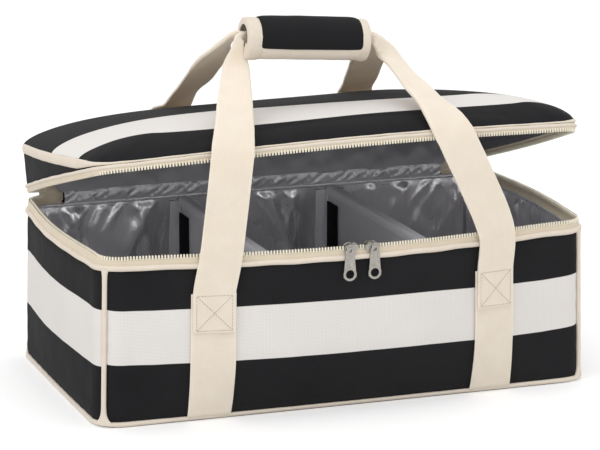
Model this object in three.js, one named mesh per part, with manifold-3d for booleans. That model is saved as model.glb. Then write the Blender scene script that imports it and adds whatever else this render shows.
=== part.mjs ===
// Insulated food delivery bag: a soft foil-lined tub with a zipped, domed lid, two loose
// padded dividers and two webbing handles joined by a padded wrap-round grip.
// Millimetres, +Z up, front towards -Y, the origin under the middle of the base.
import * as THREE from "three";
import { mergeVertices } from "three/addons/utils/BufferGeometryUtils.js";
import Module from "manifold-3d";

// Tub: plan of the wall, and how the soft wall swells
const BODY_WIDTH = 480;
const BODY_DEPTH = 276;
const ZIP_HEIGHT = 157.6;
const CORNER_RADIUS = 26;
const END_LEAN = 3.8;
const FRONT_BULGE = 26;
const END_BULGE = 7;
const BACK_BULGE = 8;
const BULGE_RISE = 70;
const BULGE_SHAPE = 1.35;

// Layers of the wall, each set in from the one outside it
const SEAT_GAP = 0.3;
const FABRIC_THICKNESS = 1.6;
const FOAM_THICKNESS = 7;
const LINING_THICKNESS = 0.8;
const PANEL_FOOT = 5.6;

// Layers of the base, from the ground up
const BASE_PANEL_THICKNESS = 1.2;
const BASE_BOARD_THICKNESS = 2.5;
const BASE_FOAM_THICKNESS = 5;

// Piping and zip
const PIPING_RADIUS = 2.2;
const LID_PIPING_RADIUS = 1.6;
const PIPING_INSET = -0.6;
const RIM_PIPING_INSET = 0.2;
const BASE_PIPING_INSET = 1.2;
const BASE_PIPING_HEIGHT = 2.8;
const CHAIN_HALF_GAP = 1.2;
const CHAIN_HEIGHT = 2.6;
const CHAIN_WIDTH = 3;
const CHAIN_INSET = 1.3;
const TAPE_THICKNESS = 1;
const BODY_TAPE_HEIGHT = 5;
const LID_TAPE_HEIGHT = 1;

// Lid: a wedge-shaped side under a domed top, propped open at the handles
const LID_OPEN_ANGLE = 17;
const HINGE_INSET = 1;
const LID_FRONT_SEAM = 10.3;
const LID_BACK_SEAM = 50;
const LID_SEAM_CURVE = 0.9;
const LID_CROWN = 33;
const BINDING_FRONT_HEIGHT = 1.4;
const BINDING_BACK_HEIGHT = 9;
const BINDING_SPREAD = 0.2;
const BINDING_THICKNESS = 2;
const BINDING_PROUD = 0.6;

// Webbing handles
const WEBBING_WIDTH = 38;
const WEBBING_THICKNESS = 2;
const WEBBING_SPACING = 274;
const SEWN_END_FOOT = 85;
const SEWN_END_TOP = 121;
const FOLDED_WIDTH = 13;
const FOLD_OFFSET = 3.2;
const LID_CLEARANCE = 5;
const LEG_SPACING_AT_LID = 220;
const REAR_LEG_SPACING_AT_LID = 220;
const FRONT_LEG_TURN = 23;

// Ways of the legs from the lid's edge to the grip: shares of the drawing in, run and rise
const FRONT_LEG_WAY = [
  [0, 0, 0],
  [0.12, 0.05, 0.2],
  [0.5, 0.52, 0.5],
  [0.91, 0.97, 0.83],
];
const REAR_LEG_WAY = [
  [-0.42, 0.02, -0.17],
  [0, 0, 0],
  [0.31, 0.03, 0.19],
  [0.5, 0.347, 0.45],
];

// Grip: its middle's rise over the zip, and how far it stands forward and to one side
const GRIP_RISE = 168.4;
const GRIP_FORWARD = 45;
const GRIP_SHIFT = -10;
const GRIP_LENGTH = 112;
const GRIP_ENTRY = 4;
const GRIP_BEND = 10;
const GRIP_HOLD = 20;
const GRIP_TILT = 4;
const GRIP_BORE_RADIUS = 11;
const GRIP_PADDING = 3;
const GRIP_LAP_GAP = 1.4;
const GRIP_LAP_ANGLE = 50;
const GRIP_BINDING_WIDTH = 8.5;
const GRIP_FLAP_BINDING_WIDTH = 16;
const GRIP_BINDING_THICKNESS = 3.9;
const GRIP_FLAP_ANGLE = 200;
const CLOSURE_TAPE_THICKNESS = 0.8;

// Zip sliders and their pulls
const SLIDER_OFFSET = 12;
const SLIDER_LENGTH = 12;
const SLIDER_HEIGHT = 9.6;
const SLIDER_PLATE = 1.2;
const SLIDER_CLEARANCE = 0.5;
const SLIDER_POST_HEIGHT = 1.4;
const BRIDGE_GAP = 2.5;
const BRIDGE_HEIGHT = 4.2;
const BRIDGE_BAR = 1.2;
const BRIDGE_WIDTH = 2;
const PULL_LENGTH = 33;
const PULL_TOP_WIDTH = 8.7;
const PULL_FOOT_WIDTH = 12.5;
const PULL_THICKNESS = 1.4;
const PULL_HOLE_RADIUS = 4;
const PULL_HOLE_MARGIN = 2.2;
const PULL_EYE_WIDTH = 5;
const PULL_EYE_HEIGHT = 4.2;

// Dividers
const DIVIDER_SPACING = 154;
const DIVIDER_THICKNESS = 8;
const DIVIDER_TOP = 146;
const DIVIDER_CLEARANCE = 2.5;
const HOOK_TAPE_WIDTH = 25;
const HOOK_TAPE_THICKNESS = 2;
const HOOK_TAPE_MARGIN = 8;

// Facet sizes
const FLAT_STEP = 60;
const ZIP_STEP = 30;
const CORD_SIDES = 6;
const CHAIN_SIDES = 4;

const BLACK_FABRIC = { color: 0x262628, roughness: 0.85, metalness: 0 };
const CREAM_WEBBING = { color: 0xe1d4c4, roughness: 0.9, metalness: 0 };
const CREAM_TRIM = { color: 0xdccfc2, roughness: 0.8, metalness: 0 };
const FOIL_LINING = { color: 0x6e6d71, roughness: 0.35, metalness: 0.3 };
const WHITE_FOAM = { color: 0xe8e6e0, roughness: 0.95, metalness: 0 };
const BLACK_BOARD = { color: 0x1c1c1e, roughness: 0.6, metalness: 0 };
const HOOK_TAPE = { color: 0x101011, roughness: 1, metalness: 0 };
const GREY_METAL = { color: 0x8b8884, roughness: 0.35, metalness: 0.9 };

const { Vector2, Vector3, MathUtils } = THREE;
const wasm = await Module();
wasm.setup();

// Depth of each layer's faces behind the outer face of the wall
const FOAM_OUTER = FABRIC_THICKNESS + SEAT_GAP;
const FOAM_INNER = FOAM_OUTER + FOAM_THICKNESS;
const LINING_OUTER = FOAM_INNER + SEAT_GAP;
const LINING_INNER = LINING_OUTER + LINING_THICKNESS;

// Heights of the base layers
const BOARD_FOOT = BASE_PANEL_THICKNESS + SEAT_GAP;
const BASE_FOAM_FOOT = BOARD_FOOT + BASE_BOARD_THICKNESS + SEAT_GAP;
const LINING_FOOT = BASE_FOAM_FOOT + BASE_FOAM_THICKNESS + SEAT_GAP;
const FLOOR_HEIGHT = LINING_FOOT + LINING_THICKNESS;

// Heights of the rim's pieces, from the zip's middle plane down, and on the lid up
const CHAIN_FAR = CHAIN_HALF_GAP + CHAIN_HEIGHT;
const TAPE_NEAR = CHAIN_FAR + SEAT_GAP;
const RIM_PIPING_HEIGHT = ZIP_HEIGHT - TAPE_NEAR - BODY_TAPE_HEIGHT - SEAT_GAP - PIPING_RADIUS;
const PANEL_TOP = RIM_PIPING_HEIGHT - PIPING_RADIUS - SEAT_GAP;
const LID_PIPING_HEIGHT = TAPE_NEAR + LID_TAPE_HEIGHT + SEAT_GAP + LID_PIPING_RADIUS;
const GUSSET_FOOT = LID_PIPING_HEIGHT + LID_PIPING_RADIUS + SEAT_GAP;
const HINGE_Y = BODY_DEPTH / 2 - HINGE_INSET;

function frontSwell(height) {
  return 1 - (1 - Math.min(height, BULGE_RISE) / BULGE_RISE) ** 2;
}

function backSwell(height) {
  return Math.sin(Math.PI * Math.min(height / ZIP_HEIGHT, 1));
}

// The four sides, anticlockwise from the front: outward normal, direction of travel along it
const SIDES = {
  front: wallSide([0, -1], BODY_WIDTH / 2, BODY_DEPTH / 2, FRONT_BULGE, frontSwell),
  right: wallSide([1, 0], BODY_DEPTH / 2, BODY_WIDTH / 2, END_BULGE, frontSwell),
  back: wallSide([0, 1], BODY_WIDTH / 2, BODY_DEPTH / 2, BACK_BULGE, backSwell),
  left: wallSide([-1, 0], BODY_DEPTH / 2, BODY_WIDTH / 2, END_BULGE, frontSwell),
};

function wallSide([x, y], half, reach, bulge, swell) {
  const straight = half - CORNER_RADIUS;
  return {
    normal: new Vector2(x, y),
    along: new Vector2(-y, x),
    straight,
    apex: straight + (CORNER_RADIUS * Math.PI) / 4,
    reach,
    bulge,
    swell,
  };
}

// A point of the tub's wall: travel is the distance along a side from its middle, and inset
// the depth behind the wall's outer face.
function wallPoint({ side, travel }, height, inset) {
  const { normal, along, straight, reach, bulge, swell } = SIDES[side];
  const flat = MathUtils.clamp(travel, -straight, straight);
  const turn = (travel - flat) / CORNER_RADIUS;
  const facing = normal.clone().multiplyScalar(Math.cos(turn)).addScaledVector(along, Math.sin(turn));
  const swelling = bulge * swell(height) * (1 - (flat / straight) ** 2) ** BULGE_SHAPE;
  const plan = normal.clone().multiplyScalar(reach - CORNER_RADIUS);
  plan.addScaledVector(along, flat).addScaledVector(facing, CORNER_RADIUS + swelling - inset);
  const lean = 1 - (END_LEAN * height) / ZIP_HEIGHT / (BODY_WIDTH / 2);
  return new Vector3(plan.x * lean, plan.y, height);
}

// The same outline for the lid, shut, measured from the hinge line
function lidPoint(stop, height, inset) {
  const rim = wallPoint(stop, ZIP_HEIGHT, inset);
  return new Vector3(rim.x, rim.y - HINGE_Y, height);
}

function wallNormal({ side, travel }, height) {
  const before = wallPoint({ side, travel: travel - 5 }, height, 0);
  const tangent = wallPoint({ side, travel: travel + 5 }, height, 0).sub(before).normalize();
  return new Vector3(tangent.y, -tangent.x, 0);
}

// Travels along one side where every layer bends: round the corners, and on the flat at the
// edges of the webbing sewn to the front and back
function sideBends(side, flatStep) {
  const { straight, apex } = SIDES[side];
  const near = (WEBBING_SPACING - WEBBING_WIDTH) / 2;
  const far = (WEBBING_SPACING + WEBBING_WIDTH) / 2;
  const webbing = side === "front" || side === "back" ? [-far, -near, near, far] : [];
  const marks = [-straight, ...webbing, straight];
  const bends = [-(straight + apex) / 2, -straight];
  for (let i = 1; i < marks.length; i++) {
    const count = Math.ceil((marks[i] - marks[i - 1]) / flatStep);
    for (let k = 1; k <= count; k++) {
      bends.push(MathUtils.lerp(marks[i - 1], marks[i], k / count));
    }
  }
  return [...bends, (straight + apex) / 2];
}

// Stops along one side between two travels
function sideRun(side, from, to, flatStep = FLAT_STEP) {
  const between = sideBends(side, flatStep).filter((bend) => bend > from + 1 && bend < to - 1);
  return [from, ...between, to].map((travel) => ({ side, travel }));
}

function wholeSide(side, flatStep = FLAT_STEP) {
  return sideRun(side, -SIDES[side].apex, SIDES[side].apex, flatStep);
}

// Right round the bag
function fullLoop() {
  return ["front", "right", "back", "left"].flatMap((side) => wholeSide(side).slice(1));
}

// From one end of the hinge, round the front, to its other end
function zipRun() {
  const { straight, apex } = SIDES.back;
  const start = sideRun("back", straight, apex);
  const finish = sideRun("back", -apex, -straight);
  const middle = ["left", "front", "right"].flatMap((side) => wholeSide(side, ZIP_STEP).slice(1));
  return [...start, ...middle, ...finish.slice(1)];
}

function solidGeometry(points, faces) {
  const geometry = new THREE.BufferGeometry().setFromPoints(points);
  let volume = 0;
  for (let i = 0; i < faces.length; i += 3) {
    const [a, b, c] = [points[faces[i]], points[faces[i + 1]], points[faces[i + 2]]];
    volume += a.dot(new Vector3().crossVectors(b, c));
  }
  geometry.setIndex(volume < 0 ? faces.slice().reverse() : faces);
  geometry.computeVertexNormals();
  return geometry;
}

// A closed solid through sections of equal point count. Each section runs out along one face
// and back along the other, so its ends are closed by a strip between the two. Both faces are
// split along the same diagonals, so that layers nest.
function loft(sections, closed = false) {
  const count = sections[0].length;
  const rings = sections.length;
  const faces = [];
  for (let i = 0; i < (closed ? rings : rings - 1); i++) {
    const a = i * count;
    const b = ((i + 1) % rings) * count;
    for (let j = 0; j < count; j++) {
      const k = (j + 1) % count;
      if (j < count / 2) {
        faces.push(a + j, b + j, b + k, a + j, b + k, a + k);
      } else {
        faces.push(a + j, b + j, a + k, b + j, b + k, a + k);
      }
    }
  }
  if (!closed) {
    const end = (rings - 1) * count;
    for (let j = 0; j < count / 2 - 1; j++) {
      const [p, q, r, s] = [j, j + 1, count - 2 - j, count - 1 - j];
      faces.push(p, q, r, p, r, s);
      faces.push(end + p, end + r, end + q, end + p, end + s, end + r);
    }
  }
  return solidGeometry(sections.flat(), faces);
}

const valueAt = (value, stop) => (typeof value === "function" ? value(stop) : value);

// Heights at which every layer of the tub's wall bends, so that the layers nest
function wallLevels(from, to) {
  const bends = [LINING_FOOT, 0.35 * BULGE_RISE, 0.65 * BULGE_RISE, BULGE_RISE];
  return [from, ...bends.filter((level) => level > from + 1 && level < to - 1), to];
}

// A layer of sheet following the wall between two heights and two depths
function band(run, { bottom, top, outer, inner, closed = false, place = wallPoint }) {
  const sections = run.map((stop) => {
    const low = valueAt(bottom, stop);
    const high = valueAt(top, stop);
    const heights = place === wallPoint ? wallLevels(low, high) : [low, high];
    const front = heights.map((height) => place(stop, height, outer));
    const back = heights.map((height) => place(stop, height, inner)).reverse();
    return [...front, ...back];
  });
  return loft(sections, closed);
}

// A round or oval cord following the wall
function cord(run, { height, inset, wide, tall = wide, sides = CORD_SIDES, ...how }) {
  const { closed = false, place = wallPoint } = how;
  const sections = run.map((stop) =>
    Array.from({ length: sides }, (_, i) => {
      const angle = ((i + 0.5) / sides) * 2 * Math.PI;
      const up = height + tall * Math.sin(angle);
      return place(stop, up, inset - wide * Math.cos(angle));
    }),
  );
  return loft(sections, closed);
}

// A flat plate with the wall's own outline at one height
function basePlate(foot, thickness, inset) {
  const outline = fullLoop().map((stop) => wallPoint(stop, foot, inset));
  const shape = new THREE.Shape(outline.map(({ x, y }) => new Vector2(x, y)));
  const geometry = new THREE.ExtrudeGeometry(shape, { depth: thickness, bevelEnabled: false });
  return geometry.translate(0, 0, foot);
}

function toSolid(geometry) {
  const plain = geometry.clone();
  plain.deleteAttribute("normal");
  plain.deleteAttribute("uv");
  const merged = mergeVertices(plain, 1e-4);
  const vertProperties = new Float32Array(merged.attributes.position.array);
  const triVerts = new Uint32Array(merged.index.array);
  return new wasm.Manifold(new wasm.Mesh({ numProp: 3, vertProperties, triVerts }));
}

function fromSolid(solid) {
  const { vertProperties, triVerts, numProp } = solid.getMesh();
  const geometry = new THREE.BufferGeometry();
  const points = [];
  for (let i = 0; i < vertProperties.length; i += numProp) {
    points.push(vertProperties[i], vertProperties[i + 1], vertProperties[i + 2]);
  }
  geometry.setAttribute("position", new THREE.Float32BufferAttribute(points, 3));
  geometry.setIndex(Array.from(triVerts));
  geometry.computeVertexNormals();
  return geometry;
}

function addMesh(group, name, geometry, look) {
  const mesh = new THREE.Mesh(geometry, new THREE.MeshStandardMaterial(look));
  mesh.name = name;
  group.add(mesh);
  return mesh;
}

function cornerPiping(side) {
  const stop = { side, travel: SIDES[side].apex };
  const foot = BASE_PIPING_HEIGHT + PIPING_RADIUS + SEAT_GAP;
  const sections = wallLevels(foot, PANEL_TOP).map((height) => {
    const centre = wallPoint(stop, height, PIPING_INSET);
    const out = wallPoint(stop, height, PIPING_INSET - 1).sub(centre).normalize();
    const across = new Vector3(-out.y, out.x, 0);
    return Array.from({ length: CORD_SIDES }, (_, j) => {
      const angle = ((j + 0.5) / CORD_SIDES) * 2 * Math.PI;
      const point = centre.clone().addScaledVector(out, PIPING_RADIUS * Math.cos(angle));
      return point.addScaledVector(across, PIPING_RADIUS * Math.sin(angle));
    });
  });
  return loft(sections);
}

// Outer panels, foam and foil lining of the tub
function addTubWalls(group) {
  const seam = PIPING_RADIUS + SEAT_GAP;
  for (const side of Object.keys(SIDES)) {
    const { apex } = SIDES[side];
    const panel = { bottom: PANEL_FOOT, top: PANEL_TOP, outer: 0, inner: FABRIC_THICKNESS };
    addMesh(group, `${side}_panel`, band(sideRun(side, seam - apex, apex - seam), panel), BLACK_FABRIC);
    const foam = { ...panel, outer: FOAM_OUTER, inner: FOAM_INNER };
    const foamRun = sideRun(side, 2 * SEAT_GAP - apex, apex - 2 * SEAT_GAP);
    addMesh(group, `${side}_foam`, band(foamRun, foam), WHITE_FOAM);
    addMesh(group, `${side}_corner_piping`, cornerPiping(side), CREAM_TRIM);
  }
  const lining = {
    bottom: LINING_FOOT,
    top: PANEL_TOP,
    outer: LINING_OUTER,
    inner: LINING_INNER,
    closed: true,
  };
  addMesh(group, "lining_walls", band(fullLoop(), lining), FOIL_LINING);
}

function addBase(group) {
  const pipingInside = BASE_PIPING_INSET + PIPING_RADIUS + SEAT_GAP;
  addMesh(group, "base_panel", basePlate(0, BASE_PANEL_THICKNESS, pipingInside), BLACK_FABRIC);
  addMesh(group, "base_board", basePlate(BOARD_FOOT, BASE_BOARD_THICKNESS, pipingInside), BLACK_BOARD);
  addMesh(group, "base_foam", basePlate(BASE_FOAM_FOOT, BASE_FOAM_THICKNESS, LINING_OUTER), WHITE_FOAM);
  const floor = basePlate(LINING_FOOT, LINING_THICKNESS, LINING_INNER + SEAT_GAP);
  addMesh(group, "lining_floor", floor, FOIL_LINING);
  const piping = {
    height: BASE_PIPING_HEIGHT,
    inset: BASE_PIPING_INSET,
    wide: PIPING_RADIUS,
    closed: true,
  };
  addMesh(group, "base_piping", cord(fullLoop(), piping), CREAM_TRIM);
}

// Piping, zip tape, zip chain and hinge fabric on the tub's rim
function addTubRim(group) {
  const piping = { height: RIM_PIPING_HEIGHT, inset: RIM_PIPING_INSET, wide: PIPING_RADIUS, closed: true };
  addMesh(group, "rim_piping", cord(fullLoop(), piping), CREAM_TRIM);
  const tapeTop = ZIP_HEIGHT - TAPE_NEAR;
  const tape = {
    bottom: tapeTop - BODY_TAPE_HEIGHT,
    top: tapeTop,
    outer: CHAIN_INSET - TAPE_THICKNESS / 2,
    inner: CHAIN_INSET + TAPE_THICKNESS / 2,
  };
  addMesh(group, "tub_zip_tape", band(zipRun(), tape), CREAM_TRIM);
  const chain = {
    height: ZIP_HEIGHT - CHAIN_HALF_GAP - CHAIN_HEIGHT / 2,
    inset: CHAIN_INSET,
    wide: CHAIN_WIDTH * Math.SQRT1_2,
    tall: CHAIN_HEIGHT * Math.SQRT1_2,
    sides: CHAIN_SIDES,
  };
  addMesh(group, "tub_zip_chain", cord(zipRun(), chain), CREAM_TRIM);
  const edge = SIDES.back.straight - SEAT_GAP;
  const hinge = { ...tape, top: ZIP_HEIGHT - SEAT_GAP };
  addMesh(group, "tub_hinge_fabric", band(sideRun("back", -edge, edge), hinge), BLACK_FABRIC);
}

// Height of the seam between the lid's side and its top, low at the front
function seamHeight(depth) {
  const share = MathUtils.clamp(1 + depth / BODY_DEPTH, 0, 1);
  return MathUtils.lerp(LID_FRONT_SEAM, LID_BACK_SEAM, share ** LID_SEAM_CURVE);
}

function bindingHeight(depth) {
  const share = MathUtils.clamp((depth + BODY_DEPTH) / (BINDING_SPREAD * BODY_DEPTH), 0, 1);
  return MathUtils.lerp(BINDING_FRONT_HEIGHT, BINDING_BACK_HEIGHT, share);
}

const stopDepth = (stop) => lidPoint(stop, 0, 0).y;
const seamAt = (stop) => seamHeight(stopDepth(stop));
const bindingFoot = (stop) => seamAt(stop) - bindingHeight(stopDepth(stop));

function domePoint(stop, ring, inset) {
  const middle = new Vector3(0, -BODY_DEPTH / 2, 0);
  const foot = seamHeight(MathUtils.lerp(middle.y, stopDepth(stop), ring)) + SEAT_GAP;
  const point = middle.lerp(lidPoint(stop, 0, inset), ring);
  point.z = foot + (LID_CROWN - inset) * Math.sqrt(1 - ring ** 2);
  return point;
}

// A domed sheet over the lid's outline, open underneath
function domeShell(outer, inner) {
  const rings = [0.5, 0.8, 0.94, 1];
  const run = fullLoop();
  const count = run.length;
  const points = [];
  const faces = [];
  for (const inset of [outer, inner]) {
    points.push(domePoint(run[0], 0, inset));
    for (const ring of rings) {
      points.push(...run.map((stop) => domePoint(stop, ring, inset)));
    }
  }
  const under = 1 + rings.length * count;
  for (let j = 0; j < count; j++) {
    const k = (j + 1) % count;
    faces.push(0, 1 + j, 1 + k, under, under + 1 + k, under + 1 + j);
    for (let i = 0; i + 1 < rings.length; i++) {
      const [a, b] = [1 + i * count, 1 + (i + 1) * count];
      faces.push(a + j, b + j, b + k, a + j, b + k, a + k);
      const [c, d] = [under + a, under + b];
      faces.push(c + j, d + k, d + j, c + j, c + k, d + k);
    }
    const rim = 1 + (rings.length - 1) * count;
    faces.push(rim + j, under + rim + j, under + rim + k, rim + j, under + rim + k, rim + k);
  }
  return solidGeometry(points, faces);
}

function addLidTop(lid) {
  addMesh(lid, "lid_top_panel", domeShell(0, FABRIC_THICKNESS), BLACK_FABRIC);
  addMesh(lid, "lid_top_foam", domeShell(FOAM_OUTER, FOAM_INNER), WHITE_FOAM);
  addMesh(lid, "lid_top_lining", domeShell(LINING_OUTER, LINING_INNER), FOIL_LINING);
  const binding = {
    bottom: bindingFoot,
    top: seamAt,
    outer: -BINDING_PROUD,
    inner: BINDING_THICKNESS - BINDING_PROUD,
    closed: true,
    place: lidPoint,
  };
  addMesh(lid, "lid_seam_binding", band(fullLoop(), binding), CREAM_TRIM);
}

// The wedge between the zip and the top: none at the front, tallest along the hinge
function addLidSide(lid) {
  const least = 0.8;
  const tall = (stop) => bindingFoot(stop) - SEAT_GAP - GUSSET_FOOT > least;
  const loop = fullLoop();
  const firstTall = loop.findIndex(tall);
  const run = loop.slice(firstTall).filter(tall);
  const gusset = {
    bottom: GUSSET_FOOT,
    top: (stop) => bindingFoot(stop) - SEAT_GAP,
    outer: 0,
    inner: FABRIC_THICKNESS,
    place: lidPoint,
  };
  addMesh(lid, "lid_gusset", band(run, gusset), BLACK_FABRIC);
  const pipingBack = RIM_PIPING_INSET + LID_PIPING_RADIUS + SEAT_GAP;
  const foam = {
    bottom: TAPE_NEAR + LID_TAPE_HEIGHT + SEAT_GAP,
    top: seamAt,
    outer: pipingBack,
    inner: FOAM_INNER,
    closed: true,
    place: lidPoint,
  };
  addMesh(lid, "lid_side_foam", band(loop, foam), WHITE_FOAM);
  const lining = { ...foam, outer: LINING_OUTER, inner: LINING_INNER };
  addMesh(lid, "lid_side_lining", band(loop, lining), FOIL_LINING);
}

function addLidRim(lid) {
  const piping = {
    height: LID_PIPING_HEIGHT,
    inset: RIM_PIPING_INSET,
    wide: LID_PIPING_RADIUS,
    closed: true,
    place: lidPoint,
  };
  addMesh(lid, "lid_rim_piping", cord(fullLoop(), piping), CREAM_TRIM);
  const tape = {
    bottom: TAPE_NEAR,
    top: TAPE_NEAR + LID_TAPE_HEIGHT,
    outer: CHAIN_INSET - TAPE_THICKNESS / 2,
    inner: CHAIN_INSET + TAPE_THICKNESS / 2,
    place: lidPoint,
  };
  addMesh(lid, "lid_zip_tape", band(zipRun(), tape), CREAM_TRIM);
  const chain = {
    height: CHAIN_HALF_GAP + CHAIN_HEIGHT / 2,
    inset: CHAIN_INSET,
    wide: CHAIN_WIDTH * Math.SQRT1_2,
    tall: CHAIN_HEIGHT * Math.SQRT1_2,
    sides: CHAIN_SIDES,
    place: lidPoint,
  };
  addMesh(lid, "lid_zip_chain", cord(zipRun(), chain), CREAM_TRIM);
  const edge = SIDES.back.straight - SEAT_GAP;
  const hinge = { ...tape, bottom: SEAT_GAP };
  addMesh(lid, "lid_hinge_fabric", band(sideRun("back", -edge, edge), hinge), BLACK_FABRIC);
}

function makeLid() {
  const lid = new THREE.Group();
  addLidTop(lid);
  addLidSide(lid);
  addLidRim(lid);
  lid.position.set(0, HINGE_Y, ZIP_HEIGHT);
  lid.rotation.x = -MathUtils.degToRad(LID_OPEN_ANGLE);
  lid.updateMatrixWorld(true);
  return lid;
}

// Webbing sewn flat to the tub: a lower strap down to the base, and over its top the sewn
// end of the handle
function addSewnWebbing(group, side, place, sign) {
  const travel = (sign * WEBBING_SPACING) / 2;
  const half = WEBBING_WIDTH / 2;
  const run = sideRun(side, travel - half, travel + half);
  const lower = {
    bottom: PANEL_FOOT,
    top: SEWN_END_TOP,
    outer: -SEAT_GAP - WEBBING_THICKNESS,
    inner: -SEAT_GAP,
  };
  addMesh(group, `${place}_lower_webbing`, band(run, lower), CREAM_WEBBING);
  const end = {
    bottom: SEWN_END_FOOT,
    top: SEWN_END_TOP,
    outer: lower.outer - SEAT_GAP - WEBBING_THICKNESS,
    inner: lower.outer - SEAT_GAP,
  };
  addMesh(group, `${place}_sewn_end`, band(run, end), CREAM_WEBBING);
}

const GRIP_CENTRE = new Vector3(GRIP_SHIFT, -GRIP_FORWARD, ZIP_HEIGHT + GRIP_RISE);

// Depth of the middle of the handle webbing in front of the wall
const HANDLE_STANDOFF = 2 * SEAT_GAP + 1.5 * WEBBING_THICKNESS;

function gripPoint(along, depth, height = 0) {
  const tilt = MathUtils.degToRad(GRIP_TILT);
  const offset = new Vector3(along, depth, height).applyAxisAngle(new Vector3(0, 1, 0), tilt);
  return offset.add(GRIP_CENTRE);
}

// Where a leg leaves the wall: travel runs the other way along the back
function legStop(side, sign) {
  return { side, travel: ((side === "front" ? sign : -sign) * WEBBING_SPACING) / 2 };
}

// The lid's edge that a leg has to pass: its front rim, or the corner of its back
function lidEdge(side, sign) {
  const innerEdge = (sign * (LEG_SPACING_AT_LID - WEBBING_WIDTH)) / 2;
  const lidFront = lidPoint({ side, travel: innerEdge }, 0, -LID_PIPING_RADIUS);
  const edge = side === "front" ? new Vector3(0, lidFront.y, 0) : new Vector3(0, 0, LID_BACK_SEAM);
  edge.applyAxisAngle(new Vector3(1, 0, 0), -MathUtils.degToRad(LID_OPEN_ANGLE));
  const clear = LID_CLEARANCE + WEBBING_THICKNESS / 2;
  return edge.add(new Vector3(0, HINGE_Y + (side === "front" ? -clear : clear), ZIP_HEIGHT));
}

// Path of one leg from the wall to the grip. The front legs stand clear of the lid's front
// edge, and the rear legs of its back corner, before they draw together.
function legPath(side, sign) {
  const front = side === "front";
  const stop = legStop(side, sign);
  const start = wallPoint(stop, SEWN_END_TOP + SEAT_GAP, -HANDLE_STANDOFF);
  const rim = wallPoint(stop, RIM_PIPING_HEIGHT + PIPING_RADIUS, -HANDLE_STANDOFF - SEAT_GAP);
  const closedLid = wallPoint(stop, ZIP_HEIGHT, -HANDLE_STANDOFF - LID_PIPING_RADIUS);
  closedLid.z += LID_PIPING_HEIGHT;
  const edge = lidEdge(side, sign);
  const depth = front ? -FOLD_OFFSET : FOLD_OFFSET;
  const bend = gripPoint(sign * (GRIP_LENGTH / 2 + GRIP_BEND), 2 * depth);
  const entry = gripPoint(sign * (GRIP_LENGTH / 2 + GRIP_ENTRY), depth);
  const held = gripPoint(sign * (GRIP_LENGTH / 2 - GRIP_HOLD), depth);
  const wide = (front ? LEG_SPACING_AT_LID : REAR_LEG_SPACING_AT_LID) / 2;
  const narrow = GRIP_LENGTH / 2 + GRIP_BEND;
  const way = ([drawn, run, rise]) => {
    const shift = front ? GRIP_SHIFT : (GRIP_SHIFT * drawn) / 2;
    const x = sign * MathUtils.lerp(wide, narrow, drawn) + shift;
    const y = MathUtils.lerp(edge.y, GRIP_CENTRE.y, run);
    return new Vector3(x, y, MathUtils.lerp(edge.z, GRIP_CENTRE.z, rise));
  };
  const ways = (front ? FRONT_LEG_WAY : REAR_LEG_WAY).map(way);
  return [start, rim, closedLid, ...ways, bend, entry, held];
}

// One handle: a single webbing from wall to wall, folded narrow where the grip holds it
function handleLoop(side) {
  const left = legPath(side, -1);
  const right = legPath(side, 1).reverse();
  const curve = new THREE.CatmullRomCurve3([...left, ...right], false, "centripetal");
  const outwards = side === "front" ? -1 : 1;
  const legTurn = side === "front" ? MathUtils.degToRad(FRONT_LEG_TURN) : 0;
  const edgeHeight = lidEdge(side, 1).z;
  const steps = 44;
  const foldFrom = GRIP_LENGTH / 2;
  const sections = Array.from({ length: steps + 1 }, (_, i) => {
    const centre = curve.getPointAt(i / steps);
    const tangent = curve.getTangentAt(i / steps);
    const sign = Math.sign(centre.x - GRIP_SHIFT) || 1;
    const offWall = wallNormal(legStop(side, sign), RIM_PIPING_HEIGHT);
    const offGrip = new Vector3(sign * Math.sin(legTurn), outwards * Math.cos(legTurn), 0);
    const turning = MathUtils.smoothstep(centre.z, edgeHeight, GRIP_CENTRE.z);
    const outward = offWall.lerp(offGrip, turning);
    const normal = outward.clone().addScaledVector(tangent, -outward.dot(tangent)).normalize();
    const across = new Vector3().crossVectors(tangent, normal);
    const fold = MathUtils.smoothstep(GRIP_CENTRE.z - centre.z, 0, foldFrom);
    const half = MathUtils.lerp(FOLDED_WIDTH, WEBBING_WIDTH, fold) / 2;
    const thick = normal.clone().multiplyScalar(WEBBING_THICKNESS / 2);
    return [
      centre.clone().addScaledVector(across, -half).add(thick),
      centre.clone().addScaledVector(across, half).add(thick),
      centre.clone().addScaledVector(across, half).sub(thick),
      centre.clone().addScaledVector(across, -half).sub(thick),
    ];
  });
  return loft(sections);
}

// A padded strip rolled round the webbing with its end lapped over its start
function wrapShape(innerRadius, thickness, fromAngle, toAngle) {
  const pitch = GRIP_PADDING + GRIP_LAP_GAP;
  const steps = Math.max(3, Math.ceil((toAngle - fromAngle) / 18));
  const arc = (extra) =>
    Array.from({ length: steps + 1 }, (_, i) => {
      const angle = MathUtils.lerp(fromAngle, toAngle, i / steps);
      const radius = innerRadius + extra + (pitch * (angle - GRIP_FLAP_ANGLE)) / 360;
      const turn = MathUtils.degToRad(angle);
      return new Vector2(radius * Math.cos(turn), radius * Math.sin(turn));
    });
  return new THREE.Shape([...arc(0), ...arc(thickness).reverse()]);
}

function gripPiece(shape, from, length) {
  const geometry = new THREE.ExtrudeGeometry(shape, { depth: length, bevelEnabled: false });
  geometry.rotateX(Math.PI / 2).rotateZ(Math.PI / 2);
  geometry.translate(from, 0, 0);
  geometry.rotateY(MathUtils.degToRad(GRIP_TILT));
  return geometry.translate(GRIP_CENTRE.x, GRIP_CENTRE.y, GRIP_CENTRE.z);
}

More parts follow.
